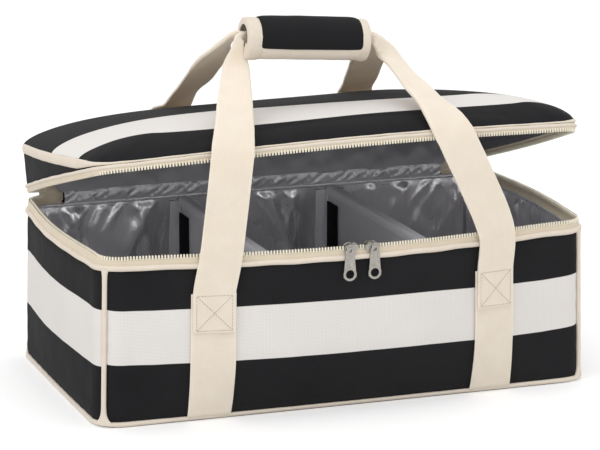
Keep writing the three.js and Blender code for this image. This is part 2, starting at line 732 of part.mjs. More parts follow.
function addGrip(group) {
  const end = GRIP_FLAP_ANGLE + 360 + GRIP_LAP_ANGLE;
  const inside = GRIP_LENGTH / 2 - GRIP_BINDING_WIDTH - SEAT_GAP;
  const lapRadius = GRIP_BORE_RADIUS + 2 * GRIP_PADDING;
  const edgeTrim = MathUtils.radToDeg(GRIP_FLAP_BINDING_WIDTH / lapRadius);
  const padding = wrapShape(GRIP_BORE_RADIUS, GRIP_PADDING, GRIP_FLAP_ANGLE, end - edgeTrim);
  addMesh(group, "grip_wrap", gripPiece(padding, -inside, 2 * inside), BLACK_FABRIC);
  const swell = GRIP_BINDING_THICKNESS - GRIP_PADDING;
  const bound = wrapShape(GRIP_BORE_RADIUS - swell / 2, GRIP_BINDING_THICKNESS, GRIP_FLAP_ANGLE, end);
  const far = GRIP_LENGTH / 2 - GRIP_BINDING_WIDTH;
  addMesh(group, "grip_binding_left", gripPiece(bound, -GRIP_LENGTH / 2, GRIP_BINDING_WIDTH), CREAM_TRIM);
  addMesh(group, "grip_binding_right", gripPiece(bound, far, GRIP_BINDING_WIDTH), CREAM_TRIM);
  const flapFrom = end - edgeTrim + 1;
  const flap = wrapShape(GRIP_BORE_RADIUS, GRIP_PADDING + swell / 2, flapFrom, end);
  addMesh(group, "grip_flap_binding", gripPiece(flap, -inside, 2 * inside), CREAM_TRIM);
  const tapeRadius = GRIP_BORE_RADIUS + GRIP_PADDING + SEAT_GAP;
  const tape = wrapShape(tapeRadius, CLOSURE_TAPE_THICKNESS, GRIP_FLAP_ANGLE + 4, GRIP_FLAP_ANGLE + 32);
  const tapeHalf = inside - GRIP_BINDING_WIDTH;
  addMesh(group, "grip_closure_tape", gripPiece(tape, -tapeHalf, 2 * tapeHalf), HOOK_TAPE);
}

function roundedOutline(halfWidth, halfHeight, taper) {
  const shape = new THREE.Shape();
  const corner = 2;
  shape.moveTo(-halfWidth + corner, -halfHeight + taper);
  shape.lineTo(halfWidth - corner, -halfHeight);
  shape.quadraticCurveTo(halfWidth, -halfHeight, halfWidth, -halfHeight + corner);
  shape.lineTo(halfWidth, halfHeight - corner);
  shape.quadraticCurveTo(halfWidth, halfHeight, halfWidth - corner, halfHeight);
  shape.lineTo(-halfWidth + corner, halfHeight - taper);
  shape.quadraticCurveTo(-halfWidth, halfHeight - taper, -halfWidth, halfHeight - taper - corner);
  shape.lineTo(-halfWidth, -halfHeight + taper + corner);
  shape.quadraticCurveTo(-halfWidth, -halfHeight + taper, -halfWidth + corner, -halfHeight + taper);
  return shape;
}

// Outer face of the slider's front plate, and the middle of the bar that the pull hangs on
const SLIDER_FACE = CHAIN_WIDTH / 2 + SLIDER_CLEARANCE + SLIDER_PLATE;
const PULL_PIVOT = SLIDER_FACE + BRIDGE_GAP / 2;

// Two plates either side of the tape, joined by a post that runs between the two chains
function sliderGeometry() {
  const half = CHAIN_WIDTH / 2 + SLIDER_CLEARANCE;
  const outline = roundedOutline(SLIDER_LENGTH / 2, SLIDER_HEIGHT / 2, 1);
  const settings = { depth: SLIDER_PLATE, bevelEnabled: false, curveSegments: 2 };
  const plate = new THREE.ExtrudeGeometry(outline, settings).rotateX(Math.PI / 2);
  const front = toSolid(plate.clone().translate(0, -half, 0));
  const rear = toSolid(plate.clone().translate(0, half + SLIDER_PLATE, 0));
  const postDepth = 2 * half + SLIDER_PLATE;
  const post = toSolid(new THREE.BoxGeometry(SLIDER_LENGTH / 2, postDepth, SLIDER_POST_HEIGHT));
  return fromSolid(front.add(rear).add(post).add(toSolid(bridgeGeometry())));
}

function bridgeGeometry() {
  const outerHalf = BRIDGE_HEIGHT / 2 + BRIDGE_BAR;
  const root = SLIDER_FACE - SLIDER_PLATE / 2;
  const top = SLIDER_FACE + BRIDGE_GAP + BRIDGE_BAR;
  const inner = SLIDER_FACE + BRIDGE_GAP;
  const arch = new THREE.Shape([
    new Vector2(-outerHalf, root),
    new Vector2(-outerHalf, top - 0.8),
    new Vector2(-outerHalf + 0.8, top),
    new Vector2(outerHalf - 0.8, top),
    new Vector2(outerHalf, top - 0.8),
    new Vector2(outerHalf, root),
    new Vector2(outerHalf - BRIDGE_BAR, root),
    new Vector2(outerHalf - BRIDGE_BAR, inner),
    new Vector2(-outerHalf + BRIDGE_BAR, inner),
    new Vector2(-outerHalf + BRIDGE_BAR, root),
  ]);
  const geometry = new THREE.ExtrudeGeometry(arch, { depth: BRIDGE_WIDTH, bevelEnabled: false });
  geometry.translate(0, 0, -BRIDGE_WIDTH / 2);
  return geometry.rotateY(-Math.PI / 2).rotateX(Math.PI / 2).rotateX(Math.PI / 2);
}

function circlePoints(centre, radius, count) {
  return Array.from({ length: count }, (_, i) => {
    const angle = (2 * Math.PI * i) / count;
    return new Vector2(radius * Math.cos(angle), radius * Math.sin(angle)).add(centre);
  });
}

// A flat tab with an eye that hangs on the slider's bridge and a round hole at its foot
function pullGeometry() {
  const shape = new THREE.Shape();
  const top = PULL_THICKNESS / 2;
  const foot = top - PULL_LENGTH;
  const [a, b] = [PULL_TOP_WIDTH / 2, PULL_FOOT_WIDTH / 2];
  const corner = 2.5;
  shape.moveTo(-a, top);
  shape.lineTo(a, top);
  shape.lineTo(b, foot + corner);
  shape.quadraticCurveTo(b, foot, b - corner, foot);
  shape.lineTo(-b + corner, foot);
  shape.quadraticCurveTo(-b, foot, -b, foot + corner);
  const eyeTop = -PULL_THICKNESS / 2;
  const eye = new THREE.Path([
    new Vector2(-PULL_EYE_WIDTH / 2, eyeTop),
    new Vector2(-PULL_EYE_WIDTH / 2, eyeTop - PULL_EYE_HEIGHT),
    new Vector2(PULL_EYE_WIDTH / 2, eyeTop - PULL_EYE_HEIGHT),
    new Vector2(PULL_EYE_WIDTH / 2, eyeTop),
  ]);
  const holeCentre = new Vector2(0, foot + PULL_HOLE_RADIUS + PULL_HOLE_MARGIN);
  const hole = new THREE.Path(circlePoints(holeCentre, PULL_HOLE_RADIUS, 12));
  shape.holes.push(eye, hole);
  const settings = { depth: PULL_THICKNESS, bevelEnabled: false, curveSegments: 6 };
  const geometry = new THREE.ExtrudeGeometry(shape, settings).rotateX(Math.PI / 2);
  return geometry.translate(0, PULL_THICKNESS / 2 - PULL_PIVOT, 0);
}

function addSlider(group, name, sign) {
  const stop = { side: "front", travel: sign * SLIDER_OFFSET };
  const place = wallPoint(stop, ZIP_HEIGHT, CHAIN_INSET);
  const before = wallPoint({ side: "front", travel: stop.travel - 1 }, ZIP_HEIGHT, CHAIN_INSET);
  const after = wallPoint({ side: "front", travel: stop.travel + 1 }, ZIP_HEIGHT, CHAIN_INSET);
  const slider = new THREE.Group();
  slider.position.copy(place);
  slider.rotation.z = Math.atan2(after.y - before.y, after.x - before.x);
  addMesh(slider, `slider_${name}`, sliderGeometry(), GREY_METAL);
  addMesh(slider, `pull_${name}`, pullGeometry(), GREY_METAL);
  group.add(slider);
}

// A padded board that stands on the lining floor between the front and back walls
function addDivider(group, name, sign) {
  const travel = (sign * DIVIDER_SPACING) / 2;
  const inset = LINING_INNER + DIVIDER_CLEARANCE;
  const half = DIVIDER_THICKNESS / 2;
  const frontAt = (height) => wallPoint({ side: "front", travel }, height, inset).y;
  const backStop = { side: "back", travel: -travel };
  const backAt = (height) => wallPoint(backStop, Math.max(height, PANEL_TOP), inset).y;
  const rows = 5;
  const sections = Array.from({ length: rows + 1 }, (_, i) => {
    const height = MathUtils.lerp(FLOOR_HEIGHT + SEAT_GAP, DIVIDER_TOP, i / rows);
    return [
      new Vector3(travel - half, frontAt(height), height),
      new Vector3(travel + half, frontAt(height), height),
      new Vector3(travel + half, backAt(height), height),
      new Vector3(travel - half, backAt(height), height),
    ];
  });
  addMesh(group, `divider_${name}`, loft(sections), FOIL_LINING);
  const foot = FLOOR_HEIGHT + 2 * HOOK_TAPE_MARGIN;
  const tall = DIVIDER_TOP - HOOK_TAPE_MARGIN - foot;
  const strip = new THREE.BoxGeometry(HOOK_TAPE_THICKNESS, HOOK_TAPE_WIDTH, tall);
  const x = travel - half - SEAT_GAP - HOOK_TAPE_THICKNESS / 2;
  const inward = HOOK_TAPE_MARGIN + HOOK_TAPE_WIDTH / 2;
  const rear = addMesh(group, `divider_${name}_rear_tape`, strip, HOOK_TAPE);
  rear.position.set(x, backAt(DIVIDER_TOP) - inward, foot + tall / 2);
  const fore = addMesh(group, `divider_${name}_front_tape`, strip.clone(), HOOK_TAPE);
  fore.position.set(x, frontAt(foot) + inward, foot + tall / 2);
}

const bag = new THREE.Group();
addBase(bag);
addTubWalls(bag);
addTubRim(bag);
addSewnWebbing(bag, "front", "front_left", -1);
addSewnWebbing(bag, "front", "front_right", 1);
addSewnWebbing(bag, "back", "rear_left", 1);
addSewnWebbing(bag, "back", "rear_right", -1);
addMesh(bag, "front_handle", handleLoop("front"), CREAM_WEBBING);
addMesh(bag, "rear_handle", handleLoop("back"), CREAM_WEBBING);
addGrip(bag);
addSlider(bag, "left", -1);
addSlider(bag, "right", 1);
addDivider(bag, "left", -1);
addDivider(bag, "right", 1);
bag.add(makeLid());

export default bag;
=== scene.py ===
import math
from contextlib import contextmanager

import bpy
import numpy as np
from mathutils import Matrix, Vector


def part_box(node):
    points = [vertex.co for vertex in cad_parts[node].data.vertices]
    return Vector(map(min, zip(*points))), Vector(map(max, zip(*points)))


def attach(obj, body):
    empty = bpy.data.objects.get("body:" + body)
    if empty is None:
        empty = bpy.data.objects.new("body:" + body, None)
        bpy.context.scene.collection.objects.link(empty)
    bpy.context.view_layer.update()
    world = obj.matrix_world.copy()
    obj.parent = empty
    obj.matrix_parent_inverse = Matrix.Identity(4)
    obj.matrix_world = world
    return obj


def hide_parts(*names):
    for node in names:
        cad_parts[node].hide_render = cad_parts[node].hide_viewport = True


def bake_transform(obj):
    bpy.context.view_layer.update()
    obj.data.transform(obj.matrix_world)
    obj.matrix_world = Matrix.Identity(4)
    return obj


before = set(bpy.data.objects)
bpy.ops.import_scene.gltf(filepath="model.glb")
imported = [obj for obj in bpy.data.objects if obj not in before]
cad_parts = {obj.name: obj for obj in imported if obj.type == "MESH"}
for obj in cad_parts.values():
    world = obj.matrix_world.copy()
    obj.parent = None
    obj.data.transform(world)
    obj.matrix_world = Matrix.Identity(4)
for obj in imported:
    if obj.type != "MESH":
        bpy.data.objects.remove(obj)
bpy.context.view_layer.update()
MM = 0.001

# Sizes in mm, the same as the part's own
BODY_WIDTH, BODY_DEPTH, ZIP_HEIGHT = 480, 276, 157.6
CORNER_RADIUS, END_LEAN = 26, 3.8
FRONT_BULGE, END_BULGE, BACK_BULGE, BULGE_RISE, BULGE_SHAPE = 26, 7, 8, 70, 1.35
PANEL_FOOT, PANEL_TOP, RIM_PIPING_HEIGHT = 5.6, 143.5, 146.0
PIPING_RADIUS, LID_PIPING_RADIUS, LID_PIPING_HEIGHT = 2.2, 1.6, 7.0
FLOOR_HEIGHT, LINING_FOOT = 10.4, 9.6
HINGE_Y, LID_OPEN_ANGLE = 137, 17
LID_FRONT_SEAM, LID_BACK_SEAM, LID_SEAM_CURVE, LID_CROWN = 10.3, 50, 0.9, 31
BINDING_FRONT, BINDING_BACK, BINDING_SPREAD = 1.4, 9, 0.2
WEBBING_WIDTH, WEBBING_THICKNESS, WEBBING_SPACING = 38, 2, 274
SEWN_END_FOOT, SEWN_END_TOP, HANDLE_STANDOFF = 85, 121, 3.6
GRIP_CENTRE, GRIP_LENGTH, GRIP_TILT = (-10, -45, 326), 112, 4
GRIP_BORE_RADIUS, GRIP_BINDING_WIDTH = 11, 8.5
TOOTH_PITCH = 2.8
DIVIDER_PLACE, DIVIDER_SHIFT = 77, 8

# Sizes in mm of what the scene adds
PADDED_WALL, FILM_THICKNESS, TAPE_THICKNESS, JOIN_DISTANCE = 8.2, 0.4, 0.5, 0.02
CORD_GIRTH = 14
# Where the white stripe begins and ends on the rolls, and half the width of its edges
TUB_STRIPE, LID_STRIPE, DYE_BLUR = (57.4, 107.2), (40, 90), 0.25
# Depth of the lining behind the bag's face, where it lies flat
LINING_INSET = 9.3
# The lid's crown stands this much higher at its right end and lower at its left
CROWN_LEAN = 4
# The lid hangs a little lower at its left end, where it is less propped up
TWIST_FROM, TWIST_TO = -2071.0, 243.0
# The zip's tape runs on past the zip's ends, along the inside of the hinge
TAPE_END, TAPE_END_INSET = 13, 3.0


def ease(x, low, high):
    t = np.clip((x - low) / (high - low), 0, 1)
    return t * t * (3 - 2 * t)


def drift(a, b, seed):
    """Slow uneven waves between about -1 and 1."""
    waves = np.sin(1.7 * a + 2.3 * b + seed) + 0.6 * np.sin(3.1 * a - 1.9 * b + 2.1 * seed)
    return (waves + 0.4 * np.sin(5.3 * a + 4.1 * b + 3.7 * seed)) / 2


def ways_along(points):
    """Length of the way along a line of points, up to each of them."""
    return np.concatenate([[0], np.cumsum(np.linalg.norm(np.diff(points, axis=0), axis=1))])


def at_ways(ways, lengths, points):
    """Points at some ways along a line, whose own points lie at the lengths."""
    return np.stack([np.interp(ways, lengths, part) for part in points.T], 1)


def profile(corners, share):
    """Inset and height along a line of corners."""
    corners = np.asarray(corners)
    lengths = ways_along(corners)
    return at_ways(share * lengths[-1], lengths, corners).T


def unit(vectors):
    return vectors / np.linalg.norm(vectors, axis=1)[:, None]


def nearest(share, count):
    """Number of the row at a share of the way through count rows."""
    return np.clip(np.round(share * (count - 1)).astype(int), 0, count - 1)


# The bag's outline: the same soft walls as the solids
def front_swell(height):
    return 1 - (1 - np.minimum(height, BULGE_RISE) / BULGE_RISE) ** 2


def back_swell(height):
    return np.sin(np.pi * np.minimum(height / ZIP_HEIGHT, 1))


def bag_side(normal, half, reach, bulge, swell):
    straight = half - CORNER_RADIUS
    apex = straight + CORNER_RADIUS * math.pi / 4
    return dict(normal=normal, straight=straight, apex=apex, reach=reach, bulge=bulge, swell=swell)


SIDES = {
    "front": bag_side((0, -1), BODY_WIDTH / 2, BODY_DEPTH / 2, FRONT_BULGE, front_swell),
    "right": bag_side((1, 0), BODY_DEPTH / 2, BODY_WIDTH / 2, END_BULGE, front_swell),
    "back": bag_side((0, 1), BODY_WIDTH / 2, BODY_DEPTH / 2, BACK_BULGE, back_swell),
    "left": bag_side((-1, 0), BODY_DEPTH / 2, BODY_WIDTH / 2, END_BULGE, front_swell),
}


def wall(side, travel, height, inset):
    """Points of one wall: travel runs along it from its middle, inset is the depth behind its face."""
    travel, height, inset = np.broadcast_arrays(*np.atleast_1d(travel, height, inset))
    shape = SIDES[side]
    nx, ny = shape["normal"]
    ax, ay = -ny, nx
    flat = np.clip(travel, -shape["straight"], shape["straight"])
    turn = (travel - flat) / CORNER_RADIUS
    share = np.clip(1 - (flat / shape["straight"]) ** 2, 0, 1)
    out = CORNER_RADIUS + shape["bulge"] * shape["swell"](height) * share**BULGE_SHAPE - inset
    core = shape["reach"] - CORNER_RADIUS
    x = nx * core + ax * flat + (nx * np.cos(turn) + ax * np.sin(turn)) * out
    y = ny * core + ay * flat + (ny * np.cos(turn) + ay * np.sin(turn)) * out
    return np.stack([x * (1 - END_LEAN * height / ZIP_HEIGHT / (BODY_WIDTH / 2)), y, height + 0 * x], 1)


SIDE_STARTS = {}
LOOP = 0.0
for side_name, side_shape in SIDES.items():
    SIDE_STARTS[side_name] = LOOP
    LOOP += 2 * side_shape["apex"]
ZIP_FROM = SIDE_STARTS["back"] + SIDES["back"]["apex"] + SIDES["back"]["straight"]
ZIP_TO = LOOP + SIDE_STARTS["back"] + SIDES["back"]["apex"] - SIDES["back"]["straight"]


def around(run, height, inset):
    """Points right round the bag: run goes anticlockwise from the front's left corner."""
    run, height, inset = np.broadcast_arrays(*np.atleast_1d(run, height, inset))
    run = np.mod(run, LOOP)
    points = np.zeros((len(run), 3))
    for side, start in SIDE_STARTS.items():
        apex = SIDES[side]["apex"]
        here = (run >= start) & (run < start + 2 * apex)
        points[here] = wall(side, run[here] - start - apex, height[here], inset[here])
    return points


# The lid, shut: its outline is the rim's, and heights are above the zip
def lid_rim(run, height, inset):
    points = around(run, ZIP_HEIGHT, inset)
    points[:, 2] = ZIP_HEIGHT + height
    return points


def lid_depth(run):
    return around(run, ZIP_HEIGHT, 0)[:, 1] - HINGE_Y


def seam_height(depth):
    share = np.clip(1 + depth / BODY_DEPTH, 0, 1)
    return LID_FRONT_SEAM + (LID_BACK_SEAM - LID_FRONT_SEAM) * share**LID_SEAM_CURVE


def binding_height(depth):
    share = np.clip((depth + BODY_DEPTH) / (BINDING_SPREAD * BODY_DEPTH), 0, 1)
    return BINDING_FRONT + (BINDING_BACK - BINDING_FRONT) * share


def dome(run, ring, inset):
    """Points of the lid's top from its middle (ring 0) to its seam (ring 1), fuller to the right."""
    rim = lid_rim(run, 0, inset)
    middle = np.array([0, HINGE_Y - BODY_DEPTH / 2, 0])
    points = middle + (rim - middle) * ring[:, None]
    foot = seam_height(-BODY_DEPTH / 2 + (lid_depth(run) + BODY_DEPTH / 2) * ring)
    crown = LID_CROWN + CROWN_LEAN * points[:, 0] / (BODY_WIDTH / 2) - inset
    points[:, 2] = ZIP_HEIGHT + foot + 0.3 + crown * np.clip(1 - ring**4, 0, 1) ** 0.75
    return points


def raised(points, share):
    """Points of the shut lid turned up about the hinge by a share of its opening."""
    angle = -np.radians(LID_OPEN_ANGLE) * share
    y, z = points[:, 1] - HINGE_Y, points[:, 2] - ZIP_HEIGHT
    turned = [y * np.cos(angle) - z * np.sin(angle), y * np.sin(angle) + z * np.cos(angle)]
    return np.stack([points[:, 0], turned[0] + HINGE_Y, turned[1] + ZIP_HEIGHT], 1)


# Making pieces
def deselect():
    if bpy.context.object and bpy.context.object.mode != "OBJECT":
        bpy.ops.object.mode_set(mode="OBJECT")
    bpy.ops.object.select_all(action="DESELECT")


def in_hand(piece):
    deselect()
    piece.select_set(True)
    bpy.context.view_layer.objects.active = piece


def fresh(add, **settings):
    """A new mesh from one of the ready-made shapes."""
    deselect()
    add(**settings)
    return bpy.context.object


@contextmanager
def editing(piece):
    """Edit mode with all of a piece selected."""
    in_hand(piece)
    bpy.ops.object.mode_set(mode="EDIT")
    bpy.ops.mesh.select_all(action="SELECT")
    yield
    bpy.ops.object.mode_set(mode="OBJECT")


def points_of(piece):
    points = np.empty(3 * len(piece.data.vertices))
    piece.data.vertices.foreach_get("co", points)
    return points.reshape(-1, 3) / MM


def set_points(piece, points):
    piece.data.vertices.foreach_set("co", (np.asarray(points) * MM).ravel())
    piece.data.update()


def lay(name, steps, place, cut, closed=False, turned=False):
    """A grid of cloth laid on its surface. place(u, v) gives points in mm for shares u and v of the
    cut, and cut its size in mm, or a function that gives the place on the roll, for the weave."""
    columns, rows = steps
    piece = fresh(bpy.ops.mesh.primitive_grid_add, x_subdivisions=columns, y_subdivisions=rows, size=2)
    piece.name = piece.data.name = name
    flat = points_of(piece) * MM
    set_points(piece, place((flat[:, 0] + 1) / 2, (flat[:, 1] + 1) / 2))
    roll = piece.data.uv_layers[0].data
    marks = np.empty(2 * len(roll))
    roll.foreach_get("uv", marks)
    marks = marks.reshape(-1, 2)
    marks = cut(marks[:, 0], marks[:, 1]) if callable(cut) else marks * np.array(cut)
    roll.foreach_set("uv", (marks * MM).ravel())
    if closed:
        join_edges(piece)
    if turned:
        with editing(piece):
            bpy.ops.mesh.flip_normals()
    return piece


def join_edges(piece, outwards=False):
    with editing(piece):
        bpy.ops.mesh.remove_doubles(threshold=JOIN_DISTANCE * MM)
        if outwards:
            bpy.ops.mesh.normals_make_consistent(inside=False)


def shape_with(piece, kind, **settings):
    in_hand(piece)
    modifier = piece.modifiers.new(kind.lower(), kind)
    for name, value in settings.items():
        setattr(modifier, name, value)
    bpy.ops.object.modifier_apply(modifier=modifier.name)


def thicken(piece, thickness, offset=-1.0):
    shape_with(piece, "SOLIDIFY", thickness=thickness * MM, offset=offset, use_rim=True)


def rounded(piece, width, segments=2, angle=50):
    """Rounds the edges that turn by more than an angle."""
    limits = {"limit_method": "ANGLE", "angle_limit": math.radians(angle)}
    shape_with(piece, "BEVEL", width=width * MM, segments=segments, **limits)


def row_of(name, model, places):
    """One piece made of many copies of a small modelled shape; each place is a 4 x 4 matrix in mm."""
    points = points_of(model)
    faces = [list(face.vertices) for face in model.data.polygons]
    spots = np.asarray(places)
    copies = np.einsum("nij,kj->nki", spots[:, :3, :3], points) + spots[:, None, :3, 3]
    count = len(points)
    everyone = [[i * count + k for k in face] for i in range(len(spots)) for face in faces]
    mesh = bpy.data.meshes.new(name)
    mesh.from_pydata((copies.reshape(-1, 3) * MM).tolist(), [], everyone)
    piece = bpy.data.objects.new(name, mesh)
    bpy.context.scene.collection.objects.link(piece)
    return piece


def spot(origin, along, out):
    """A place for a copy: its x axis lies along, its y axis points into the cloth."""
    x = np.array(along, float) / np.linalg.norm(along)
    y = -np.array(out, float)
    y -= x * (x @ y)
    y /= np.linalg.norm(y)
    place = np.eye(4)
    place[:3, 0], place[:3, 1], place[:3, 2], place[:3, 3] = x, y, np.cross(x, y), origin
    return place


def coat(piece, material):
    piece.data.materials.clear()
    piece.data.materials.append(material)


def finish(piece, material, slot, smooth=60):
    coat(piece, material)
    in_hand(piece)
    bpy.ops.object.shade_smooth_by_angle(angle=math.radians(smooth))
    return piece


def cloth(name, steps, place, cut, thickness, *look, closed=False, turned=False, offset=-1.0, rounding=()):
    """A piece laid, thickened and finished: look is its material, a slot that is not used, and angle of
    smoothing.
    """
    piece = lay(name, steps, place, cut, closed, turned)
    thicken(piece, thickness, offset)
    if rounding:
        rounded(piece, *rounding)
    return finish(piece, *look)


def band(name, steps, place, width, *look):
    """A strip right round the bag: place(run, v) takes the way round and a share of its width."""
    return cloth(name, steps, lambda u, v: place(u * LOOP, v), (LOOP, width), *look, closed=True)


def piping(name, steps, line, length):
    """A cord in twill through line(u, turn), closed round its turn."""
    piece = lay(name, steps, lambda u, v: line(u, 2 * np.pi * v), (length, CORD_GIRTH))
    join_edges(piece, outwards=True)
    return finish(piece, TRIM, "cream_trim", 80)


def on(piece, body, *nodes):
    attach(piece, body)
    if nodes:
        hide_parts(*nodes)


def on_lid(piece, *nodes):
    """Turns a piece of the shut lid up, with the lid's twist, so that it lies flat again when shut."""
    points = points_of(piece)
    set_points(piece, raised(points, ease(points[:, 0], TWIST_FROM, TWIST_TO)))
    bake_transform(piece)
    if nodes:
        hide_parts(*nodes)


# Materials
def shade(code):
    """An sRGB hex colour as linear red, green, blue and alpha."""
    values = [int(code[i : i + 2], 16) / 255 for i in (1, 3, 5)]
    return [v / 12.92 if v <= 0.04045 else ((v + 0.055) / 1.055) ** 2.4 for v in values] + [1]


def feed(tree, node, inputs):
    """Sets or links the inputs of a node."""
    for socket, value in inputs.items():
        if isinstance(value, bpy.types.NodeSocket):
            tree.links.new(value, node.inputs[socket])
        else:
            node.inputs[socket].default_value = value


def put(tree, kind, inputs=(), **settings):
    """Adds a node with its settings and inputs."""
    node = tree.nodes.new("ShaderNode" + kind)
    for name, value in settings.items():
        setattr(node, name, value)
    feed(tree, node, dict(inputs))
    return node


def new_material(name):
    material = bpy.data.materials.new(name)
    material.use_nodes = True
    return material, material.node_tree


def surface(material, **inputs):
    """Sets or links the inputs of a material's shader."""
    tree = material.node_tree
    sockets = {name.replace("_", " "): value for name, value in inputs.items()}
    feed(tree, tree.nodes["Principled BSDF"], sockets)
    return material


def patches(size):
    """Scale of a noise whose patches are that many mm across."""
    return 1 / (size * MM)


def weave(tree, warp, weft):
    """Threads that pass over and under each other, warp and weft mm apart."""
    roll = put(tree, "UVMap").outputs["UV"]
    waves = {}
    for socket, direction, spacing in ((0, "X", warp), (1, "Y", weft)):
        scale = 2 * math.pi / 20 / (spacing * MM)
        inputs = {"Vector": roll, "Scale": scale, "Distortion": 0.6, "Detail": 1.0}
        waves[socket] = put(tree, "TexWave", inputs, bands_direction=direction).outputs["Fac"]
    return put(tree, "Math", waves, operation="MULTIPLY").outputs[0]


def grained(tree, colour, threads, low, high):
    """A colour that is darker between the threads."""
    grain = put(tree, "MapRange", {"Value": threads, "To Min": low, "To Max": high}).outputs[0]
    layers = {0: 1.0, 6: colour, 7: grain}
    return put(tree, "Mix", layers, data_type="RGBA", blend_type="MULTIPLY").outputs[2]


def striped_canvas(name, low, high):
    """Woven polyester canvas with a PU-coated back, dyed black with one white stripe between two
    heights on the roll: matt, with a fine even grain. Threads drawn 1.3 mm apart, so as to show."""
    material, tree = new_material(name)
    up = put(tree, "SeparateXYZ", {0: put(tree, "UVMap").outputs["UV"]}).outputs["Y"]
    edges = {}
    for socket, start, end in ((0, low - DYE_BLUR, low + DYE_BLUR), (1, high + DYE_BLUR, high - DYE_BLUR)):
        span = {"Value": up, "From Min": start * MM, "From Max": end * MM}
        edges[socket] = put(tree, "MapRange", span).outputs[0]
    stripe = put(tree, "Math", edges, operation="MULTIPLY").outputs[0]
    threads = weave(tree, 1.3, 1.3)
    body = put(tree, "TexCoord").outputs["Object"]
    fade = put(tree, "TexNoise", {"Vector": body, "Scale": patches(71.4), "Detail": 3.0}).outputs["Fac"]
    black = put(tree, "Mix", {0: fade, 6: shade("#19191b"), 7: shade("#272729")}, data_type="RGBA")
    white = put(tree, "Mix", {0: fade, 6: shade("#e4e0dc"), 7: shade("#eeeae6")}, data_type="RGBA")
    dyed = put(tree, "Mix", {0: stripe, 6: black.outputs[2], 7: white.outputs[2]}, data_type="RGBA")
    bump = put(tree, "Bump", {"Height": threads, "Strength": 0.35, "Distance": 0.25 * MM}).outputs[0]
    return surface(material, Roughness=0.9, Specular_IOR_Level=0.14, Sheen_Weight=0.02,
                   Base_Color=grained(tree, dyed.outputs[2], threads, 0.86, 1.06), Normal=bump)


def cream_cloth(name, light, dark, warp, weft, strength, depth, roughness, glow=0.0):
    """Undyed cotton and polyester weave: matt, warm white, with threads warp and weft mm apart. Some
    light goes through it, which lifts its shaded side."""
    material, tree = new_material(name)
    threads = weave(tree, warp, weft)
    body = put(tree, "TexCoord").outputs["Object"]
    slubs = {"Vector": body, "Scale": patches(16.67), "Detail": 4.0, "Roughness": 0.6}
    slub = put(tree, "TexNoise", slubs).outputs["Fac"]
    base = put(tree, "Mix", {0: slub, 6: shade(dark), 7: shade(light)}, data_type="RGBA").outputs[2]
    bump = put(tree, "Bump", {"Height": threads, "Strength": strength, "Distance": depth * MM}).outputs[0]
    return surface(material, Roughness=roughness, Specular_IOR_Level=0.25, Sheen_Weight=0.08,
                   Subsurface_Weight=glow, Subsurface_Radius=(1.0, 0.9, 0.8), Subsurface_Scale=4 * MM,
                   Base_Color=grained(tree, base, threads, 0.9, 1.03), Normal=bump)


def coated_film(name, dark, light, metallic, roughness, crease):
    """Metallised PEVA film: a soft grey gloss that breaks up over many small creases, most of them
    running down the cloth."""
    material, tree = new_material(name)
    body = put(tree, "TexCoord").outputs["Object"]
    cloudy = put(tree, "TexNoise", {"Vector": body, "Scale": patches(45.5), "Detail": 4.0}).outputs["Fac"]
    tint = put(tree, "Mix", {0: cloudy, 6: shade(dark), 7: shade(light)}, data_type="RGBA").outputs[2]
    span = {"Value": cloudy, "To Min": roughness - 0.08, "To Max": roughness + 0.1}
    dull = put(tree, "MapRange", span).outputs[0]
    drawn = put(tree, "Mapping", {"Vector": body, "Scale": (1, 1, 0.4)}).outputs[0]
    streaks = {"Vector": drawn, "Scale": patches(13.33), "Detail": 4.0, "Roughness": 0.5, "Distortion": 1.4}
    creases = put(tree, "TexNoise", streaks).outputs["Fac"]
    bump = put(tree, "Bump", {"Height": creases, "Strength": crease, "Distance": 3 * MM}).outputs[0]
    return surface(material, Metallic=metallic, Specular_IOR_Level=0.5,
                   Base_Color=tint, Roughness=dull, Normal=bump)


def nickel_plate(name):
    """Zinc casting with a dark nickel plate, tumbled: grey metal with a satin, slightly worn gloss."""
    material, tree = new_material(name)
    body = put(tree, "TexCoord").outputs["Object"]
    rubbed = {"Vector": body, "Scale": patches(2.38), "Detail": 4.0, "Roughness": 0.65}
    worn = put(tree, "TexNoise", rubbed).outputs["Fac"]
    tint = put(tree, "Mix", {0: worn, 6: shade("#827e78"), 7: shade("#bcb8b1")}, data_type="RGBA")
    satin = put(tree, "MapRange", {"Value": worn, "To Min": 0.26, "To Max": 0.46}).outputs[0]
    bump = put(tree, "Bump", {"Height": worn, "Strength": 0.15, "Distance": 0.08 * MM}).outputs[0]
    return surface(material, Metallic=1.0, Base_Color=tint.outputs[2], Roughness=satin, Normal=bump)


def nylon(name, dark, light):
    """Extruded nylon: smooth, with a soft waxy gloss."""
    material, tree = new_material(name)
    body = put(tree, "TexCoord").outputs["Object"]
    uneven = put(tree, "TexNoise", {"Vector": body, "Scale": patches(5.56), "Detail": 2.0}).outputs["Fac"]
    tint = put(tree, "Mix", {0: uneven, 6: shade(dark), 7: shade(light)}, data_type="RGBA").outputs[2]
    return surface(material, Roughness=0.42, Specular_IOR_Level=0.4, Base_Color=tint)


def rough_black(name, dark, light, grit, strength):
    """Hook tape or moulded board: near black, and dull from an uneven surface, its grit in mm."""
    material, tree = new_material(name)
    body = put(tree, "TexCoord").outputs["Object"]
    fuzz = put(tree, "TexNoise", {"Vector": body, "Scale": patches(grit), "Detail": 3.0}).outputs["Fac"]
    tint = put(tree, "Mix", {0: fuzz, 6: shade(dark), 7: shade(light)}, data_type="RGBA").outputs[2]
    bump = put(tree, "Bump", {"Height": fuzz, "Strength": strength, "Distance": 0.5 * MM}).outputs[0]
    return surface(material, Roughness=0.95, Specular_IOR_Level=0.2, Base_Color=tint, Normal=bump)


